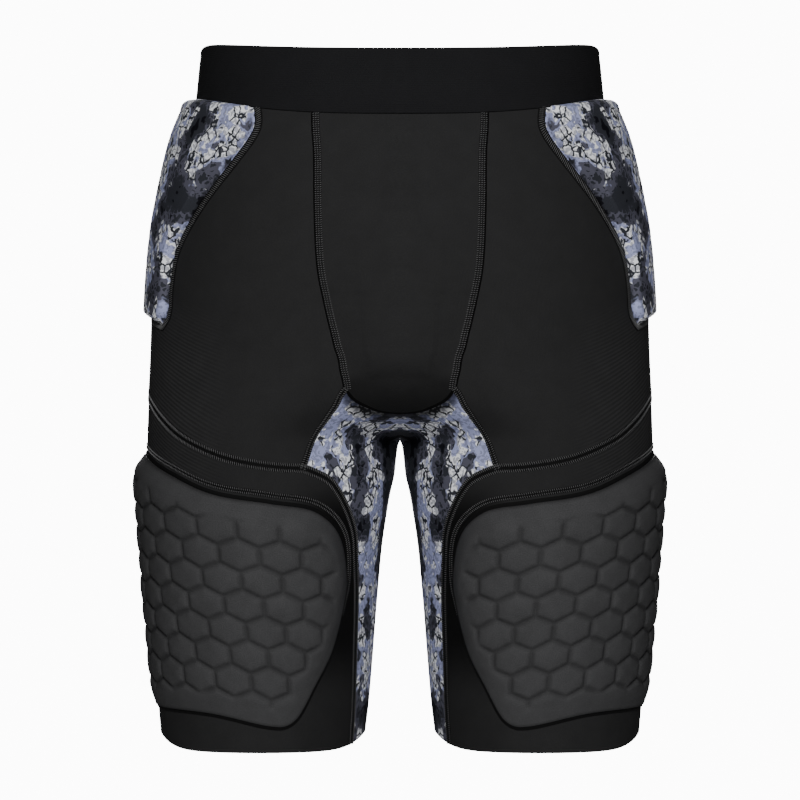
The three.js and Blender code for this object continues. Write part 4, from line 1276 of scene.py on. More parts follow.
@dataclass
class Panels:
    """The sewn cloth panels."""

    body: Body
    pattern: Pattern
    wardrobe: Wardrobe
    cloth: float = 2.0
    spacing: float = 2.6
    rib_start: float = 112.0
    rib_fade: float = 55.0
    pad_shade: float = 0.88
    pouch_rise: float = 8.5
    pouch_hold: float = 9.0
    pouch_shade: float = 0.5
    fold_shade: float = 0.9

    def masks(self, sheet: Sheet) -> dict[str, np.ndarray]:
        """Works out the ribs and the shade of a panel.

        Args:
            sheet: the panel's cloth.

        Returns:
            ribs (millimetres across them), rib_strength, which also sets the painted light at the
            sides, and shade, by name.
        """
        level = sheet.drop / self.body.rise
        outer = np.clip((sheet.base[:, 0] - self.rib_start) / self.rib_fade, 0, 1)
        seam = np.concatenate([self.pattern.lines["thigh_front"], self.pattern.lines["thigh_back"]])[::-1]
        ribs = sheet.drop - np.interp(sheet.turn, seam[:, 0], seam[:, 1])
        strength = outer * smoothstep(level, 0.62, 0.78) * (1 - smoothstep(level, 1.05, 1.2))
        near_pad = smoothstep(sheet.turn, 96.0, 122.0) * (1 - smoothstep(sheet.turn, 166.0, 178.0))
        leg = (sheet.drop - self.body.rise) / self.body.inseam
        deep = near_pad * smoothstep(leg, 0.1, 0.26) * (1 - 0.85 * smoothstep(leg, 0.62, 0.85))
        return {"ribs": ribs, "rib_strength": strength, "shade": self.pad_shade * deep}

    def panel(self, name: str, loop: np.ndarray, sides: Sequence[Side], *nodes: str) -> None:
        """Makes a plain black panel.

        Args:
            name: the piece's name.
            loop: its outline in spots.
            sides: one side, or both for a piece that crosses the middle.
            nodes: the frame's nodes that it stands for.
        """
        sheet = self.pattern.sheet(loop, self.spacing)
        flush = np.zeros(len(sheet.drop))
        obj = cloth_shell(name, sheet, flush, flush + self.cloth, sides, self.masks(sheet))
        hand_over(obj, self.wardrobe.knit, Slot.KNIT, *nodes)

    def pouch(self) -> None:
        """Makes the pouch, which swells and curls under at its lower edge."""
        body, lines = self.body, self.pattern.lines
        loop = self.pattern.loop("pouch_band", "pouch_middle", "-pouch_arc", "-pouch_seam")
        sheet = self.pattern.sheet(loop, self.spacing * 0.8)
        seam, arc = lines["pouch_seam"], lines["pouch_arc"]
        seam_turn = np.interp(sheet.drop, seam[:, 1], seam[:, 0])
        foot = np.interp(sheet.turn, arc[:, 0], arc[:, 1])
        start = body.around(seam_turn, sheet.drop)
        middle = body.around(body.middle_turn(sheet.drop, True), sheet.drop)
        across = np.clip((sheet.flat[:, 0] - start) / np.maximum(middle - start, 1), 0, 1)
        down = np.clip((sheet.drop - body.band_middle) / (foot - body.band_middle), 0, 1)
        swell = smoothstep(down, 0.1, 0.8) * (1 - smoothstep(down, 0.86, 1.0) ** 1.5)
        edge = loop_distance(sheet.flat, sheet.edge)
        hold = 1 - np.exp(-edge / self.pouch_hold)
        at_middle = np.abs(sheet.base[:, 0]) <= ON_MIDDLE
        hold = np.where(at_middle | (across > 0.5), 1.0, hold)
        rise = self.pouch_rise * np.sin(math.pi / 2 * across) * swell * hold
        masks = self.masks(sheet)
        masks["shade"] = self.pouch_shade * smoothstep(down, 0.93, 1.0)
        obj = cloth_shell("pouch", sheet, rise, self.cloth - rise, list(Side), masks)
        hand_over(obj, self.wardrobe.knit, Slot.KNIT, "pouch_panel")

    def gusset(self) -> None:
        """Makes the printed inner-leg panel."""
        back = ("gusset_back_middle", "gusset_back_top", "gusset_back_upper", "gusset_back_lower", "leg_back")
        loop = self.pattern.loop(
            "pouch_arc", "gusset_middle", "-gusset_back_middle", "-gusset_back_top", "gusset_back_upper",
            "gusset_back_lower", "leg_back", "-hem_inner", "-leg_front", "-gusset_side",
            past_inner=back,
        )
        sheet = self.pattern.sheet(loop, self.spacing)
        arc = self.pattern.lines["pouch_arc"]
        under = sheet.drop - np.interp(sheet.turn, arc[:, 0], arc[:, 1])
        shade = self.fold_shade * (1 - smoothstep(under, 1.2, 5.5)) * (sheet.turn < 181)
        flush = np.zeros(len(sheet.drop))
        obj = cloth_shell("gusset_cloth", sheet, flush, flush + self.cloth, list(Side), {"shade": shade})
        hand_over(obj, self.wardrobe.leg_print, Slot.PRINT, "gusset")

    def build(self) -> None:
        """Makes every panel."""
        self.pouch()
        self.gusset()
        front = self.pattern.loop(
            "front_band", "pouch_seam", "gusset_side", "thigh_front", "-side_seam",
            "-hip_tip_front", "-hip_front",
        )
        thigh = self.pattern.loop("thigh_front", "thigh_back", "leg_back", "-hem_outer", "-leg_front")
        seat = self.pattern.loop(
            "seat_band", "seat_middle", "-gusset_back_top", "gusset_back_upper", "gusset_back_lower",
            "-thigh_back", "-side_seam", "hip_tip_back", "-hip_back",
        )
        self.panel("seat", seat, list(Side), "seat_panel")
        for side in Side:
            self.panel(f"front_{side.word}", front, [side], f"front_panel_{side.word}")
            self.panel(f"thigh_{side.word}", thigh, [side], f"thigh_panel_{side.word}")


@dataclass
class Waistband:
    """The elastic band with its rolled upper edge."""

    body: Body
    pattern: Pattern
    wardrobe: Wardrobe
    wall: float = 3.2
    proud: float = 0.6
    swell: float = 0.25
    rows: int = 16
    roll_steps: int = 8

    def profile(self) -> list[tuple[float, float, float]]:
        """Gives the band's closed outline as (share of its height, distance out, drop added).

        Returns:
            The outline's points, from the lower edge up the outside and down the inside.
        """
        radius = self.wall / 2
        middle = self.proud - radius
        shares = np.linspace(1, 0, self.rows)
        outer = [(s, self.proud + self.swell * math.sin(math.pi * s), (1 - s) * radius) for s in shares]
        angles = np.linspace(0, math.pi, self.roll_steps + 1)[1:-1]
        roll = [(0.0, middle + radius * math.cos(a), radius * (1 - math.sin(a))) for a in angles]
        inner = [(s, self.proud - self.wall, (1 - s) * radius) for s in shares[::-1]]
        foot = [(1.0, middle - radius * math.cos(a), 0.45 * radius * math.sin(a)) for a in angles]
        return outer + roll + inner + foot

    def build(self) -> None:
        """Makes the band."""
        body, lines = self.body, self.pattern.lines
        edge = np.concatenate([
            lines["pouch_band"][::-1][:-1], lines["front_band"][::-1][:-1], lines["hip_band"][:-1],
            lines["seat_band"],
        ])
        profile = self.profile()
        points, flats = [], []
        for turn, drop in edge:
            front = bool(turn >= 0)
            for share, out, added in profile:
                at = float(body.band_top(turn)) * (1 - share) + drop * share + added
                scaled = turn * float(body.middle_turn(at, front)) / float(body.middle_turn(drop, front))
                base = body.point(scaled, at)
                points.append(base + body.normal(base) * out)
                flats.append((float(body.around(np.array(scaled), np.array(at))), at))
        points, flats = np.array(points), np.array(flats)
        ring, last = len(profile), len(edge) - 1
        columns = [*range(len(edge)), *range(last - 1, 0, -1)]
        flips = [1.0] * len(edge) + [-1.0] * (last - 1)
        whole = np.concatenate([
            points[c * ring:(c + 1) * ring] * [flip, 1, 1] for c, flip in zip(columns, flips)
        ])
        flat = np.concatenate([flats[c * ring:(c + 1) * ring] for c in columns])
        obj = finished_object("elastic_waistband", whole, tube_faces(len(columns), ring, True), flat)
        hand_over(obj, self.wardrobe.band, Slot.BAND, "waistband")


@dataclass
class Cells:
    """A field of six-sided cells on a flat pad."""

    width: float
    pitch: float
    lean: float
    turn: float
    start: tuple[float, float]

    def edge_distance(self, flat: np.ndarray) -> np.ndarray:
        """Gives each flat point's distance to the nearest side of its cell.

        Args:
            flat: flat points, one row each.

        Returns:
            The distances in millimetres.
        """
        angle = -math.radians(self.turn)
        x, y = (flat - self.start).T
        x, y = x * math.cos(angle) - y * math.sin(angle), x * math.sin(angle) + y * math.cos(angle)
        x = x - self.lean * y / self.pitch
        best = np.full(len(flat), -np.inf)
        row = np.round(y / self.pitch)
        slope = math.hypot(self.width / 2, self.pitch / 3)
        for step in (-1, 0, 1):
            r = row + step
            shift = np.where(np.mod(r, 2) == 0, 0, self.width / 2)
            ax = np.abs(x - shift - np.round((x - shift) / self.width) * self.width)
            ay = np.abs(y - r * self.pitch)
            slant = ((2 * self.pitch / 3 - ay) * self.width / 2 - ax * self.pitch / 3) / slope
            best = np.maximum(best, np.minimum(self.width / 2 - ax, slant))
        return np.maximum(best, 0)


@dataclass
class ThighPads:
    """The moulded foam pads."""

    body: Body
    wardrobe: Wardrobe
    height: float = 180.0
    width: float = 252.0
    above_hem: float = 18.0
    turn: float = 45.4
    rise: float = 9.0
    foot: float = 3.6
    bevel: float = 10.0
    edge: float = 1.4
    seat: float = 0.3
    spacing: float = 1.25
    groove: float = 1.7
    groove_width: float = 1.55
    dome: float = 0.75
    dome_width: float = 8.0
    crease: float = 5.0
    plain_border: float = 0.5
    cell_fade: float = 6.0
    cell_width: float = 26.4
    cell_pitch: float = 16.8
    cell_lean: float = 3.0
    cell_turn: float = 4.6
    cell_across: float = 0.59
    cell_along: float = 0.373

    def __post_init__(self) -> None:
        """Draws the outline and the cells."""
        self.top = self.body.full - self.above_hem - self.height
        _, _, half, depth, _ = self.body.section(np.array(self.top + self.height / 2), np.array(True))
        self.radius = float(half + depth) / 2
        rows = np.array(THIGH_PAD_OUTLINE) * [self.width / 2, self.height]
        self.outline = closed_curve(rows, self.spacing)
        start = (self.cell_across * self.width / 2, self.cell_along * self.height)
        self.cells = Cells(self.cell_width, self.cell_pitch, self.cell_lean, self.cell_turn, start)

    def placed(self, flat: np.ndarray, height: np.ndarray) -> np.ndarray:
        """Lays flat points round the leg at a height over the cloth.

        Args:
            flat: flat points, one row each.
            height: each point's height over the cloth.

        Returns:
            The points in space.
        """
        turn = self.turn + np.degrees(flat[:, 0] / self.radius)
        base = self.body.point(turn, self.top + flat[:, 1])
        return base + self.body.normal(base) * (self.seat + height)[:, None]

    def crest(self, flat: np.ndarray) -> np.ndarray:
        """Gives the pad's full height at each flat point."""
        share = np.clip(flat[:, 1] / self.height, 0, 1)
        return self.rise + (self.foot - self.rise) * share**1.5

    def celled(self, border: np.ndarray) -> np.ndarray:
        """Gives how far the cells have faded in, by the distance from the pad's edge."""
        start = self.bevel + self.plain_border
        return smoothstep(border, start, start + self.cell_fade)

    def relief(self, flat: np.ndarray) -> np.ndarray:
        """Gives the pad's height with its sloping border, its grooves and its domed cells.

        Args:
            flat: flat points, one row each.

        Returns:
            The heights over the cloth.
        """
        border = loop_distance(flat, self.outline)
        share = border / self.bevel
        slope = share / (1 + share**self.crease) ** (1 / self.crease)
        height = self.edge + (self.crest(flat) - self.edge) * slope
        side = self.cells.edge_distance(flat)
        cut = np.exp(-((side / self.groove_width) ** 2))
        dome = self.dome * smoothstep(side, 0.0, self.dome_width)
        return height - self.celled(border) * (self.groove * cut - dome)

    def painted_groove_shade(self, flat: np.ndarray) -> np.ndarray:
        """Gives each flat point's painted shade, as a share: dark in the grooves and along the pad's edge.

        Args:
            flat: flat points, one row each.

        Returns:
            The shares, 0 to 1.
        """
        border = loop_distance(flat, self.outline)
        cut = np.exp(-((self.cells.edge_distance(flat) / self.groove_width) ** 2))
        # The pad's edge and its grooves get painted shade.
        low = 1 - smoothstep(border, 0.0, 2.2)
        return np.maximum(0.3 * cut * self.celled(border), 0.5 * low)

    def build(self) -> None:
        """Makes both pads."""
        flat, triangles = fill_loop(self.outline, self.spacing)
        rim = len(self.outline)
        top = self.placed(flat, self.relief(flat))
        back_flat, back = fill_loop(self.outline, self.spacing * 6)
        under = self.placed(back_flat, np.full(len(back_flat), -self.seat))
        a, b, c = (top[triangles[:, k]] for k in range(3))
        out = self.body.normal(self.placed(flat, np.zeros(len(flat))))
        facing = np.einsum("ij,ij->i", np.cross(b - a, c - a), out[triangles].sum(axis=1))
        flipped = facing.sum() < 0
        triangles = triangles[:, ::-1] if flipped else triangles
        back = back if flipped else back[:, ::-1]
        count = len(top)
        wall = [(k, count + k, count + (k + 1) % rim, (k + 1) % rim) for k in range(rim)]
        first = triangles[np.any(triangles == 0, axis=1) & np.any(triangles == 1, axis=1)][0].tolist()
        runs_on = (first.index(1) - first.index(0)) % 3 == 1
        wall = wall if runs_on else [quad[::-1] for quad in wall]
        points = np.concatenate([top, under])
        faces = triangles.tolist() + (back + count).tolist() + wall
        places = np.concatenate([flat, back_flat])
        shade = np.concatenate([self.painted_groove_shade(flat), np.zeros(len(back_flat))])
        for side in Side:
            name, mirror = f"thigh_foam_{side.word}", points * side.mirror
            obj = finished_object(name, mirror, side.turned(faces), places, {"shade": shade})
            hand_over(obj, self.wardrobe.foam, Slot.FOAM, f"thigh_pad_{side.word}")


@dataclass
class HipPads:
    """The padded, printed panels over the hips."""

    body: Body
    pattern: Pattern
    wardrobe: Wardrobe
    rise: float = 9.5
    thinning: float = 0.4
    flange: float = 7.0
    shoulder: float = 3.6
    tuck: float = 7.0
    cloth: float = 2.0
    spacing: float = 1.7
    cell_width: float = 30.0
    cell_pitch: float = 21.0
    line_depth: float = 0.5
    line_width: float = 1.3
    crease_shade: float = 0.6

    def build(self) -> None:
        """Makes both pads."""
        loop = self.pattern.loop("hip_band", "hip_back", "-hip_tip_back", "-hip_tip_front", "-hip_front")
        sheet = self.pattern.sheet(loop, self.spacing)
        down = np.clip((sheet.drop - self.body.band_side) / self.body.hip_pad_height, 0, 1)
        sewn = sheet.edge[len(self.pattern.lines["hip_band"]) - 1:]
        border = loop_distance(sheet.flat, sewn, closed=False)
        under_band = sheet.drop - self.body.band_edge(sheet.turn)
        flange = self.flange * (1 - 0.75 * down)
        tucked = np.sqrt(1 - (1 - np.clip(under_band / self.tuck, 0, 1)) ** 2)
        raised = smoothstep(border, flange, flange + self.shoulder) * tucked
        cells = Cells(self.cell_width, self.cell_pitch, lean=0.0, turn=0.0, start=(40.0, 70.0))
        near = cells.edge_distance(sheet.flat) / self.line_width
        lines = self.line_depth * np.exp(-(near**2)) * smoothstep(border, 12.0, 18.0)
        rise = self.rise * (1 - self.thinning * down) * raised - lines
        rise[:len(loop)] = 0.0
        crease = np.exp(-(((border - flange + 0.4) / 0.9) ** 2))
        masks = {"shade": self.crease_shade * crease * smoothstep(under_band, 1.0, 6.0)}
        sink = np.full(len(rise), self.cloth)
        for side in Side:
            obj = cloth_shell(f"hip_cover_{side.word}", sheet, rise, sink, [side], masks)
            hand_over(obj, self.wardrobe.hip_print, Slot.PRINT, f"hip_pad_{side.word}")


@dataclass(frozen=True)
class Seam:
    """One kind of flat seam.

    rows holds where its rows of stitches lie, as shares of half the tape's width. shift is how far the
    tape's middle lies to the left of the line, and edge is the width of a near-black strip on its right, a
    painted shadow line, if any.
    """

    name: str
    width: float
    rows: tuple[float, ...]
    shift: float = 0.0
    edge: float = 0.0


@dataclass
class SeamWork:
    """Flat seams: a raised tape along each line, with rows of crossing stitches on it."""

    body: Body
    pattern: Pattern
    wardrobe: Wardrobe
    step: float = 1.6
    pitch: float = 1.45
    thread: float = 0.42
    reach: float = 0.82
    slant: float = 0.3
    stitch_sink: float = 0.1
    tape_height: float = 0.45
    tape_sink: float = 0.12
    tape_wall: float = 0.5
    tape_round: float = 3.5
    across_steps: int = 8
    pad_gap: float = 5.0
    pad_least: float = 1.0
    pad_end: float = 0.6
    # Widths of near-black strips that paint the shadow under the waistband and under the pouch's arc.
    band_shadow_line: float = 1.9
    pouch_shadow_line: float = 2.4

    def path(self, *names: str) -> tuple[np.ndarray, np.ndarray]:
        """Joins lines into one run of points on the body, with the ways out of it.

        Args:
            names: the lines in order; one with a minus sign in front runs backwards.

        Returns:
            The points and the ways out, evenly spaced.
        """
        rows = []
        for name in names:
            row = self.pattern.lines[name.lstrip("-")]
            rows.append(row[::-1] if name.startswith("-") else row)
        spots = np.concatenate([rows[0], *[row[1:] for row in rows[1:]]])
        base = self.body.point(spots[:, 0], spots[:, 1])
        along = np.concatenate([[0.0], np.cumsum(np.linalg.norm(np.diff(base, axis=0), axis=1))])
        stops = np.linspace(0, along[-1], int(along[-1] / self.step) + 2)
        turn, drop = (np.interp(stops, along, spots[:, k]) for k in range(2))
        base = self.body.point(turn, drop)
        return base, self.body.normal(base)

    def tape(
        self, base: np.ndarray, normal: np.ndarray, width: float, shift: float = 0.0,
    ) -> tuple[np.ndarray, list]:
        """Makes the raised strip along a path.

        Args:
            base: the path's points.
            normal: the ways out of the body there.
            width: the strip's width.
            shift: how far its middle lies to the left of the path.

        Returns:
            Its points and faces.
        """
        way = np.gradient(base, axis=0)
        way /= np.linalg.norm(way, axis=1, keepdims=True)
        left = np.cross(normal, way)
        shares = np.linspace(-1, 1, self.across_steps + 1)
        heights = self.tape_height * (1 - np.abs(shares) ** self.tape_round) - self.tape_sink
        rows = [base + left * (shift + s * width / 2) + normal * h for s, h in zip(shares, heights)]
        rows += [rows[-1] - normal * self.tape_wall, rows[0] - normal * self.tape_wall]
        ring, count = len(rows), len(base)
        points = np.stack(rows, 1).reshape(-1, 3)
        faces = tube_faces(count, ring, False)
        faces.append(tuple(range(ring)))
        faces.append(tuple(range((count - 1) * ring, count * ring))[::-1])
        return points, faces

    def stitch_tree(self) -> bpy.types.NodeTree:
        """Builds the node tree that lays crossing stitches along a path.

        Returns:
            The tree, with inputs for the stitches' pitch, length, thickness, slant and material.
        """
        tree = bpy.data.node_groups.new("crossing_stitches", "GeometryNodeTree")
        face = tree.interface
        face.new_socket("Geometry", in_out="INPUT", socket_type="NodeSocketGeometry")
        for label, value in (("Pitch", 0.00145), ("Length", 0.004), ("Thickness", 0.0004), ("Slant", 0.35)):
            face.new_socket(label, in_out="INPUT", socket_type="NodeSocketFloat").default_value = value
        face.new_socket("Material", in_out="INPUT", socket_type="NodeSocketMaterial")
        face.new_socket("Geometry", in_out="OUTPUT", socket_type="NodeSocketGeometry")
        desk = NodeDesk(tree)
        given, made = desk.add("NodeGroupInput"), desk.add("NodeGroupOutput")
        curve = desk.add("GeometryNodeMeshToCurve")
        desk.put(curve.inputs[0], given.outputs["Geometry"])
        spaced = desk.add("GeometryNodeResampleCurve", mode="LENGTH")
        desk.put(spaced.inputs["Curve"], curve.outputs[0])
        desk.put(spaced.inputs["Length"], given.outputs["Pitch"])
        ball = desk.add("GeometryNodeMeshUVSphere")
        ball.inputs["Segments"].default_value = 6
        ball.inputs["Rings"].default_value = 5
        ball.inputs["Radius"].default_value = 0.5
        size = desk.add("ShaderNodeCombineXYZ")
        for socket, label in zip(size.inputs, ("Thickness", "Length", "Thickness")):
            desk.put(socket, given.outputs[label])
        lean = desk.add("ShaderNodeCombineXYZ")
        desk.put(lean.inputs[2], given.outputs["Slant"])
        stitch = desk.add("GeometryNodeTransform")
        desk.put(stitch.inputs["Geometry"], ball.outputs["Mesh"])
        desk.put(stitch.inputs["Scale"], size.outputs[0])
        desk.put(stitch.inputs["Rotation"], lean.outputs[0])
        up = desk.add("GeometryNodeInputNamedAttribute", data_type="FLOAT_VECTOR")
        up.inputs["Name"].default_value = "up"
        stand = desk.add("FunctionNodeAlignRotationToVector", axis="Z")
        desk.put(stand.inputs["Vector"], up.outputs[0])
        run = desk.add("FunctionNodeAlignRotationToVector", axis="X", pivot_axis="Z")
        desk.put(run.inputs["Rotation"], stand.outputs[0])
        desk.put(run.inputs["Vector"], desk.add("GeometryNodeInputTangent").outputs[0])
        laid = desk.add("GeometryNodeInstanceOnPoints")
        desk.put(laid.inputs["Points"], spaced.outputs[0])
        desk.put(laid.inputs["Instance"], stitch.outputs[0])
        desk.put(laid.inputs["Rotation"], run.outputs[0])
        real = desk.add("GeometryNodeRealizeInstances")
        desk.put(real.inputs[0], laid.outputs[0])
        smooth = desk.add("GeometryNodeSetShadeSmooth")
        desk.put(smooth.inputs[0], real.outputs[0])
        painted = desk.add("GeometryNodeSetMaterial")
        desk.put(painted.inputs["Geometry"], smooth.outputs[0])
        desk.put(painted.inputs["Material"], given.outputs["Material"])
        desk.put(made.inputs[0], painted.outputs[0])
        return tree

    def stitches(
        self, name: str, runs: Sequence[tuple[np.ndarray, np.ndarray]], length: float,
    ) -> bpy.types.Object:
        """Lays stitches along runs of points.

        Args:
            name: the piece's name.
            runs: points and ways out, one pair for each run.
            length: each stitch's length across the seam.

        Returns:
            The stitches as one plain mesh.
        """
        mesh = bpy.data.meshes.new(name + "_path")
        points = np.concatenate([run[0] for run in runs]) * MM
        ups = np.concatenate([run[1] for run in runs])
        edges, at = [], 0
        for run in runs:
            edges += [(at + k, at + k + 1) for k in range(len(run[0]) - 1)]
            at += len(run[0])
        mesh.from_pydata(points.tolist(), edges, [])
        attribute = mesh.attributes.new("up", "FLOAT_VECTOR", "POINT")
        attribute.data.foreach_set("vector", ups.astype(np.float32).ravel())
        path = linked(name + "_path", mesh)
        modifier = path.modifiers.new("stitches", "NODES")
        modifier.node_group = self.tree
        values = {
            "Pitch": self.pitch * MM, "Length": length * MM, "Thickness": self.thread * MM,
            "Slant": self.slant, "Material": self.wardrobe.thread,
        }
        for item in self.tree.interface.items_tree:
            if item.in_out == "INPUT" and item.name in values:
                modifier[item.identifier] = values[item.name]
        evaluated = path.evaluated_get(bpy.context.evaluated_depsgraph_get())
        made = bpy.data.meshes.new_from_object(evaluated)
        bpy.data.objects.remove(path)
        made.name = name
        return linked(name, made)

    def sew(
        self, seam: Seam, tape: bpy.types.Material, *paths: tuple[np.ndarray, np.ndarray],
    ) -> None:
        """Makes one kind of seam on both sides.

        Args:
            seam: its kind.
            tape: the tape's finish.
            paths: points on the cloth and the ways out there, one pair for each run.
        """
        threads, tapes, lines = [], [], []
        for base, normal in paths:
            left = np.cross(normal, np.gradient(base, axis=0))
            left /= np.linalg.norm(left, axis=1, keepdims=True)
            tapes.append(self.tape(base, normal, seam.width, seam.shift))
            if seam.edge:
                # The edge strip is a painted shadow line beside the tape.
                lines.append(self.tape(base, normal, seam.edge, seam.shift - seam.width / 2))
            for row in seam.rows:
                aside = seam.shift + row * seam.width / 2
                lifted = base + left * aside + normal * (self.tape_height - self.stitch_sink)
                threads.append((lifted, normal))
        self.strips(seam.name + "_tape", tapes, tape)
        if seam.edge:
            self.strips(seam.name + "_line", lines, self.wardrobe.line)
        both = [(p * side.mirror, n * side.mirror) for side in Side for p, n in threads]
        length = self.reach * seam.width / len(seam.rows)
        sewn = self.stitches(seam.name + "_stitches", both, length)
        hand_over(sewn, self.wardrobe.thread, Slot.KNIT)

    def strips(
        self, name: str, strips: Sequence[tuple[np.ndarray, list]], material: bpy.types.Material,
    ) -> None:
        """Makes strips on both sides as one piece.

        Args:
            name: the piece's name.
            strips: points and faces of each strip on the left side.
            material: the finish.
        """
        points, faces, at = [], [], 0
        for strip_points, strip_faces in strips:
            for side in Side:
                points.append(strip_points * side.mirror)
                faces += [tuple(at + v for v in face) for face in side.turned(strip_faces)]
                at += len(strip_points)
        whole = np.concatenate(points)
        hand_over(finished_object(name, whole, faces, whole[:, [0, 2]]), material, Slot.KNIT)

    def pad_path(self, pads: ThighPads) -> tuple[np.ndarray, np.ndarray]:
        """Gives the run of the seam that follows a thigh pad's upper and inner edges.

        Args:
            pads: the thigh pads.

        Returns:
            The points and the ways out.
        """
        loop = pads.outline
        share, across = loop[:, 1] / pads.height, -loop[:, 0] / (pads.width / 2)
        closing = np.where(across < 0, smoothstep(share, 0.3, self.pad_end), smoothstep(across, 0.6, 0.97))
        moved = loop + way_out(loop) * (self.pad_gap * (1 - closing) + self.pad_least)[:, None]
        inner = (moved[:, 0] > 0) & (share < self.pad_end)
        upper = (moved[:, 0] <= 0) & (share < 0.5) & (moved[:, 0] > -0.97 * pads.width / 2)
        kept = np.flatnonzero(inner | upper)
        first = int(np.argmax(np.diff(kept))) + 1 if np.diff(kept).max() > 1 else 0
        run = moved[np.roll(kept, -first)][::2]
        turn = pads.turn + np.degrees(run[:, 0] / pads.radius)
        base = self.body.point(turn, pads.top + run[:, 1])
        return base, self.body.normal(base)

    def build(self, pads: ThighPads) -> None:
        """Makes every seam.

        Args:
            pads: the thigh pads, which one seam follows.
        """
        self.tree = self.stitch_tree()
        plain, pouch, path = self.wardrobe.tape, self.wardrobe.pouch_tape, self.path
        self.sew(Seam("pouch_seam", 5.2, (-0.62, 0.0, 0.62), shift=1.6, edge=1.5), pouch, path("-pouch_seam"))
        self.sew(
            Seam("gusset_seam", 5.0, (-0.5, 0.5)), plain,
            path("gusset_side"), path("gusset_back_upper", "gusset_back_lower"),
        )
        self.sew(
            Seam("thigh_seam", 6.6, (-0.62, 0.62)), plain,
            path("-thigh_back", "-thigh_front", "leg_front"), path("leg_back"),
        )
        self.sew(
            Seam("hip_seam", 6.4, (0.0,), shift=0.4), plain,
            path("hip_front", "hip_tip_front", "hip_tip_back", "-hip_back"), path("side_seam"),
        )
        self.sew(Seam("pad_seam", 4.2, (-0.5, 0.5)), plain, self.pad_path(pads))
        # Near-black strips paint the shadow under the waistband's lower edge and under the pouch's arc.
        band = [path("front_band", "pouch_band"), path("hip_band"), path("seat_band")]
        self.strips("band_shadow_line", [self.tape(*run, self.band_shadow_line) for run in band], self.wardrobe.line)
        self.strips("pouch_shadow_line", [self.tape(*path("pouch_arc"), self.pouch_shadow_line)], self.wardrobe.line)


@dataclass
class PadBinding:
    """The flat black edge that holds each thigh pad down."""

    pads: ThighPads
    wardrobe: Wardrobe
    width: float = 2.6
    height: float = 0.9
    overlap: float = 1.2
    flat_edge: float = 0.4
    rim: float = 0.1
    sink: float = 0.4

    def build(self) -> None:
        """Makes the binding on both sides."""
        loop = self.pads.outline[::2]
        out = way_out(loop)
        section = [
            (-self.overlap, -self.sink), (-self.overlap, self.height), (self.flat_edge, self.height),
            (0.6 * self.width, 0.9 * self.height), (self.width, self.rim), (self.width, -self.sink),
        ]
        rings = [self.pads.placed(loop + out * d, np.full(len(loop), h) - self.pads.seat) for d, h in section]
        points = np.stack(rings, 1).reshape(-1, 3)
        faces = tube_faces(len(loop), len(section), True)
        if loop_area(loop) > 0:
            faces = [face[::-1] for face in faces]
        flat = np.stack([loop + out * d for d, _ in section], 1).reshape(-1, 2)
        for side in Side:
            name = f"pad_binding_{side.word}"
            obj = finished_object(name, points * side.mirror, side.turned(faces), flat)
            hand_over(obj, self.wardrobe.tape, Slot.KNIT)


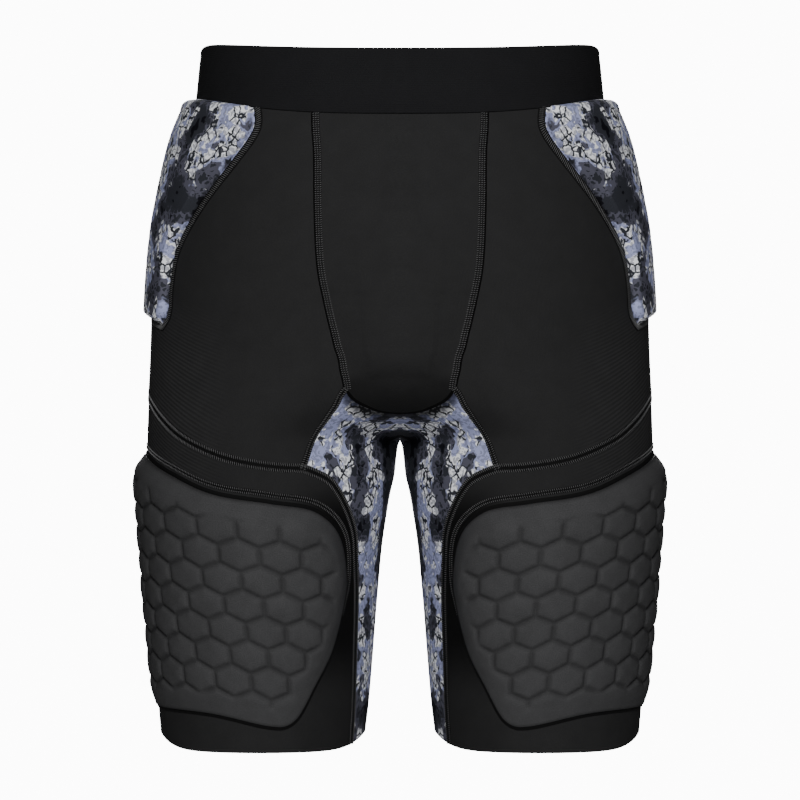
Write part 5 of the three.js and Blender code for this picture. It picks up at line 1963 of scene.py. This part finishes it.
@dataclass
class Studio:
    """The floor, the light and the camera."""

    body: Body
    distance: float = 3000.0
    frame_width: float = 544.0
    aim_below_top: float = 232.4
    sensor: float = 36.0
    floor_half: float = 60000.0
    floor_below: float = 2000.0
    lit_below: float = 200.0
    glow: float = 12.0
    fill: float = 0.05

    def floor(self) -> None:
        """Makes the plain pale floor."""
        half, z = self.floor_half, self.body.top - self.body.full - self.floor_below
        corners = np.array([[-half, -half, z], [half, -half, z], [half, half, z], [-half, half, z]])
        floor = finished_object("floor", corners, [(0, 1, 2, 3)], None)
        material = bpy.data.materials.new("pale_floor")
        material.use_nodes = True
        desk = NodeDesk(material.node_tree)
        shader = material.node_tree.nodes["Principled BSDF"]
        shader.inputs["Base Color"].default_value = (0.9, 0.9, 0.9, 1)
        shader.inputs["Roughness"].default_value = 1.0
        shader.inputs["Specular IOR Level"].default_value = 0.0
        shader.inputs["Emission Color"].default_value = (1, 1, 1, 1)
        seen = desk.math("MULTIPLY", desk.add("ShaderNodeLightPath").outputs["Is Camera Ray"], self.glow)
        desk.put(shader.inputs["Emission Strength"], seen)
        floor.data.materials.append(material)

    def lamp(self, name: str, place: tuple[float, float, float], size: float, power: float) -> None:
        """Hangs a soft square light that faces the shorts.

        Args:
            name: the light's name.
            place: where it hangs, in metres.
            size: its side, in metres.
            power: its strength in watts.
        """
        light = bpy.data.lights.new(name, "AREA")
        light.size, light.energy = size, power
        obj = linked(name, light)
        obj.location = place
        target = Vector((0, 0, -self.lit_below * MM))
        obj.rotation_euler = (target - Vector(place)).to_track_quat("-Z", "Y").to_euler()

    def sky(self, seen: float, given: float) -> None:
        """Sets the pale surroundings: how bright they look and how much light they give.

        Args:
            seen: the strength that the camera sees.
            given: the strength that lights the shorts.
        """
        world = bpy.data.worlds.new("studio")
        bpy.context.scene.world = world
        world.use_nodes = True
        desk = NodeDesk(world.node_tree)
        ground = world.node_tree.nodes["Background"]
        ground.inputs["Color"].default_value = (1, 1, 1, 1)
        path = desk.add("ShaderNodeLightPath")
        mixed = desk.math("MULTIPLY_ADD", path.outputs["Is Camera Ray"], seen - given, given)
        desk.put(ground.inputs["Strength"], mixed)

    def camera(self) -> None:
        """Sets the camera at the photograph's angle."""
        data = bpy.data.cameras.new("camera")
        data.sensor_width = self.sensor
        data.lens = self.sensor * self.distance / self.frame_width
        data.clip_start, data.clip_end = 0.1, 200.0
        camera = linked("camera", data)
        camera.location = (0, -self.distance * MM, (self.body.top - self.aim_below_top) * MM)
        camera.rotation_euler = (math.pi / 2, 0, 0)
        bpy.context.scene.camera = camera

    def build(self) -> None:
        """Sets everything up."""
        self.camera()
        self.floor()
        self.sky(seen=self.glow, given=self.fill)
        self.lamp("key", (0.0, -2.8, 0.9), 0.9, 84.0)
        self.lamp("left", (1.3, -2.6, -0.7), 0.8, 2.2)
        self.lamp("right", (-1.3, -2.6, -0.7), 0.8, 2.2)
        self.lamp("back", (0.0, 3.2, 0.8), 1.6, 110.0)


def main() -> None:
    """Builds the shorts piece by piece."""
    logging.basicConfig(level=logging.INFO, format="%(name)s %(message)s")
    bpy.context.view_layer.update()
    body = Body()
    Studio(body).build()
    pattern = Pattern(body)
    wardrobe = Wardrobe()
    Waistband(body, pattern, wardrobe).build()
    Panels(body, pattern, wardrobe).build()
    HipPads(body, pattern, wardrobe).build()
    pads = ThighPads(body, wardrobe)
    pads.build()
    PadBinding(pads, wardrobe).build()
    SeamWork(body, pattern, wardrobe).build(pads)


if __name__ == "__main__":
    main()
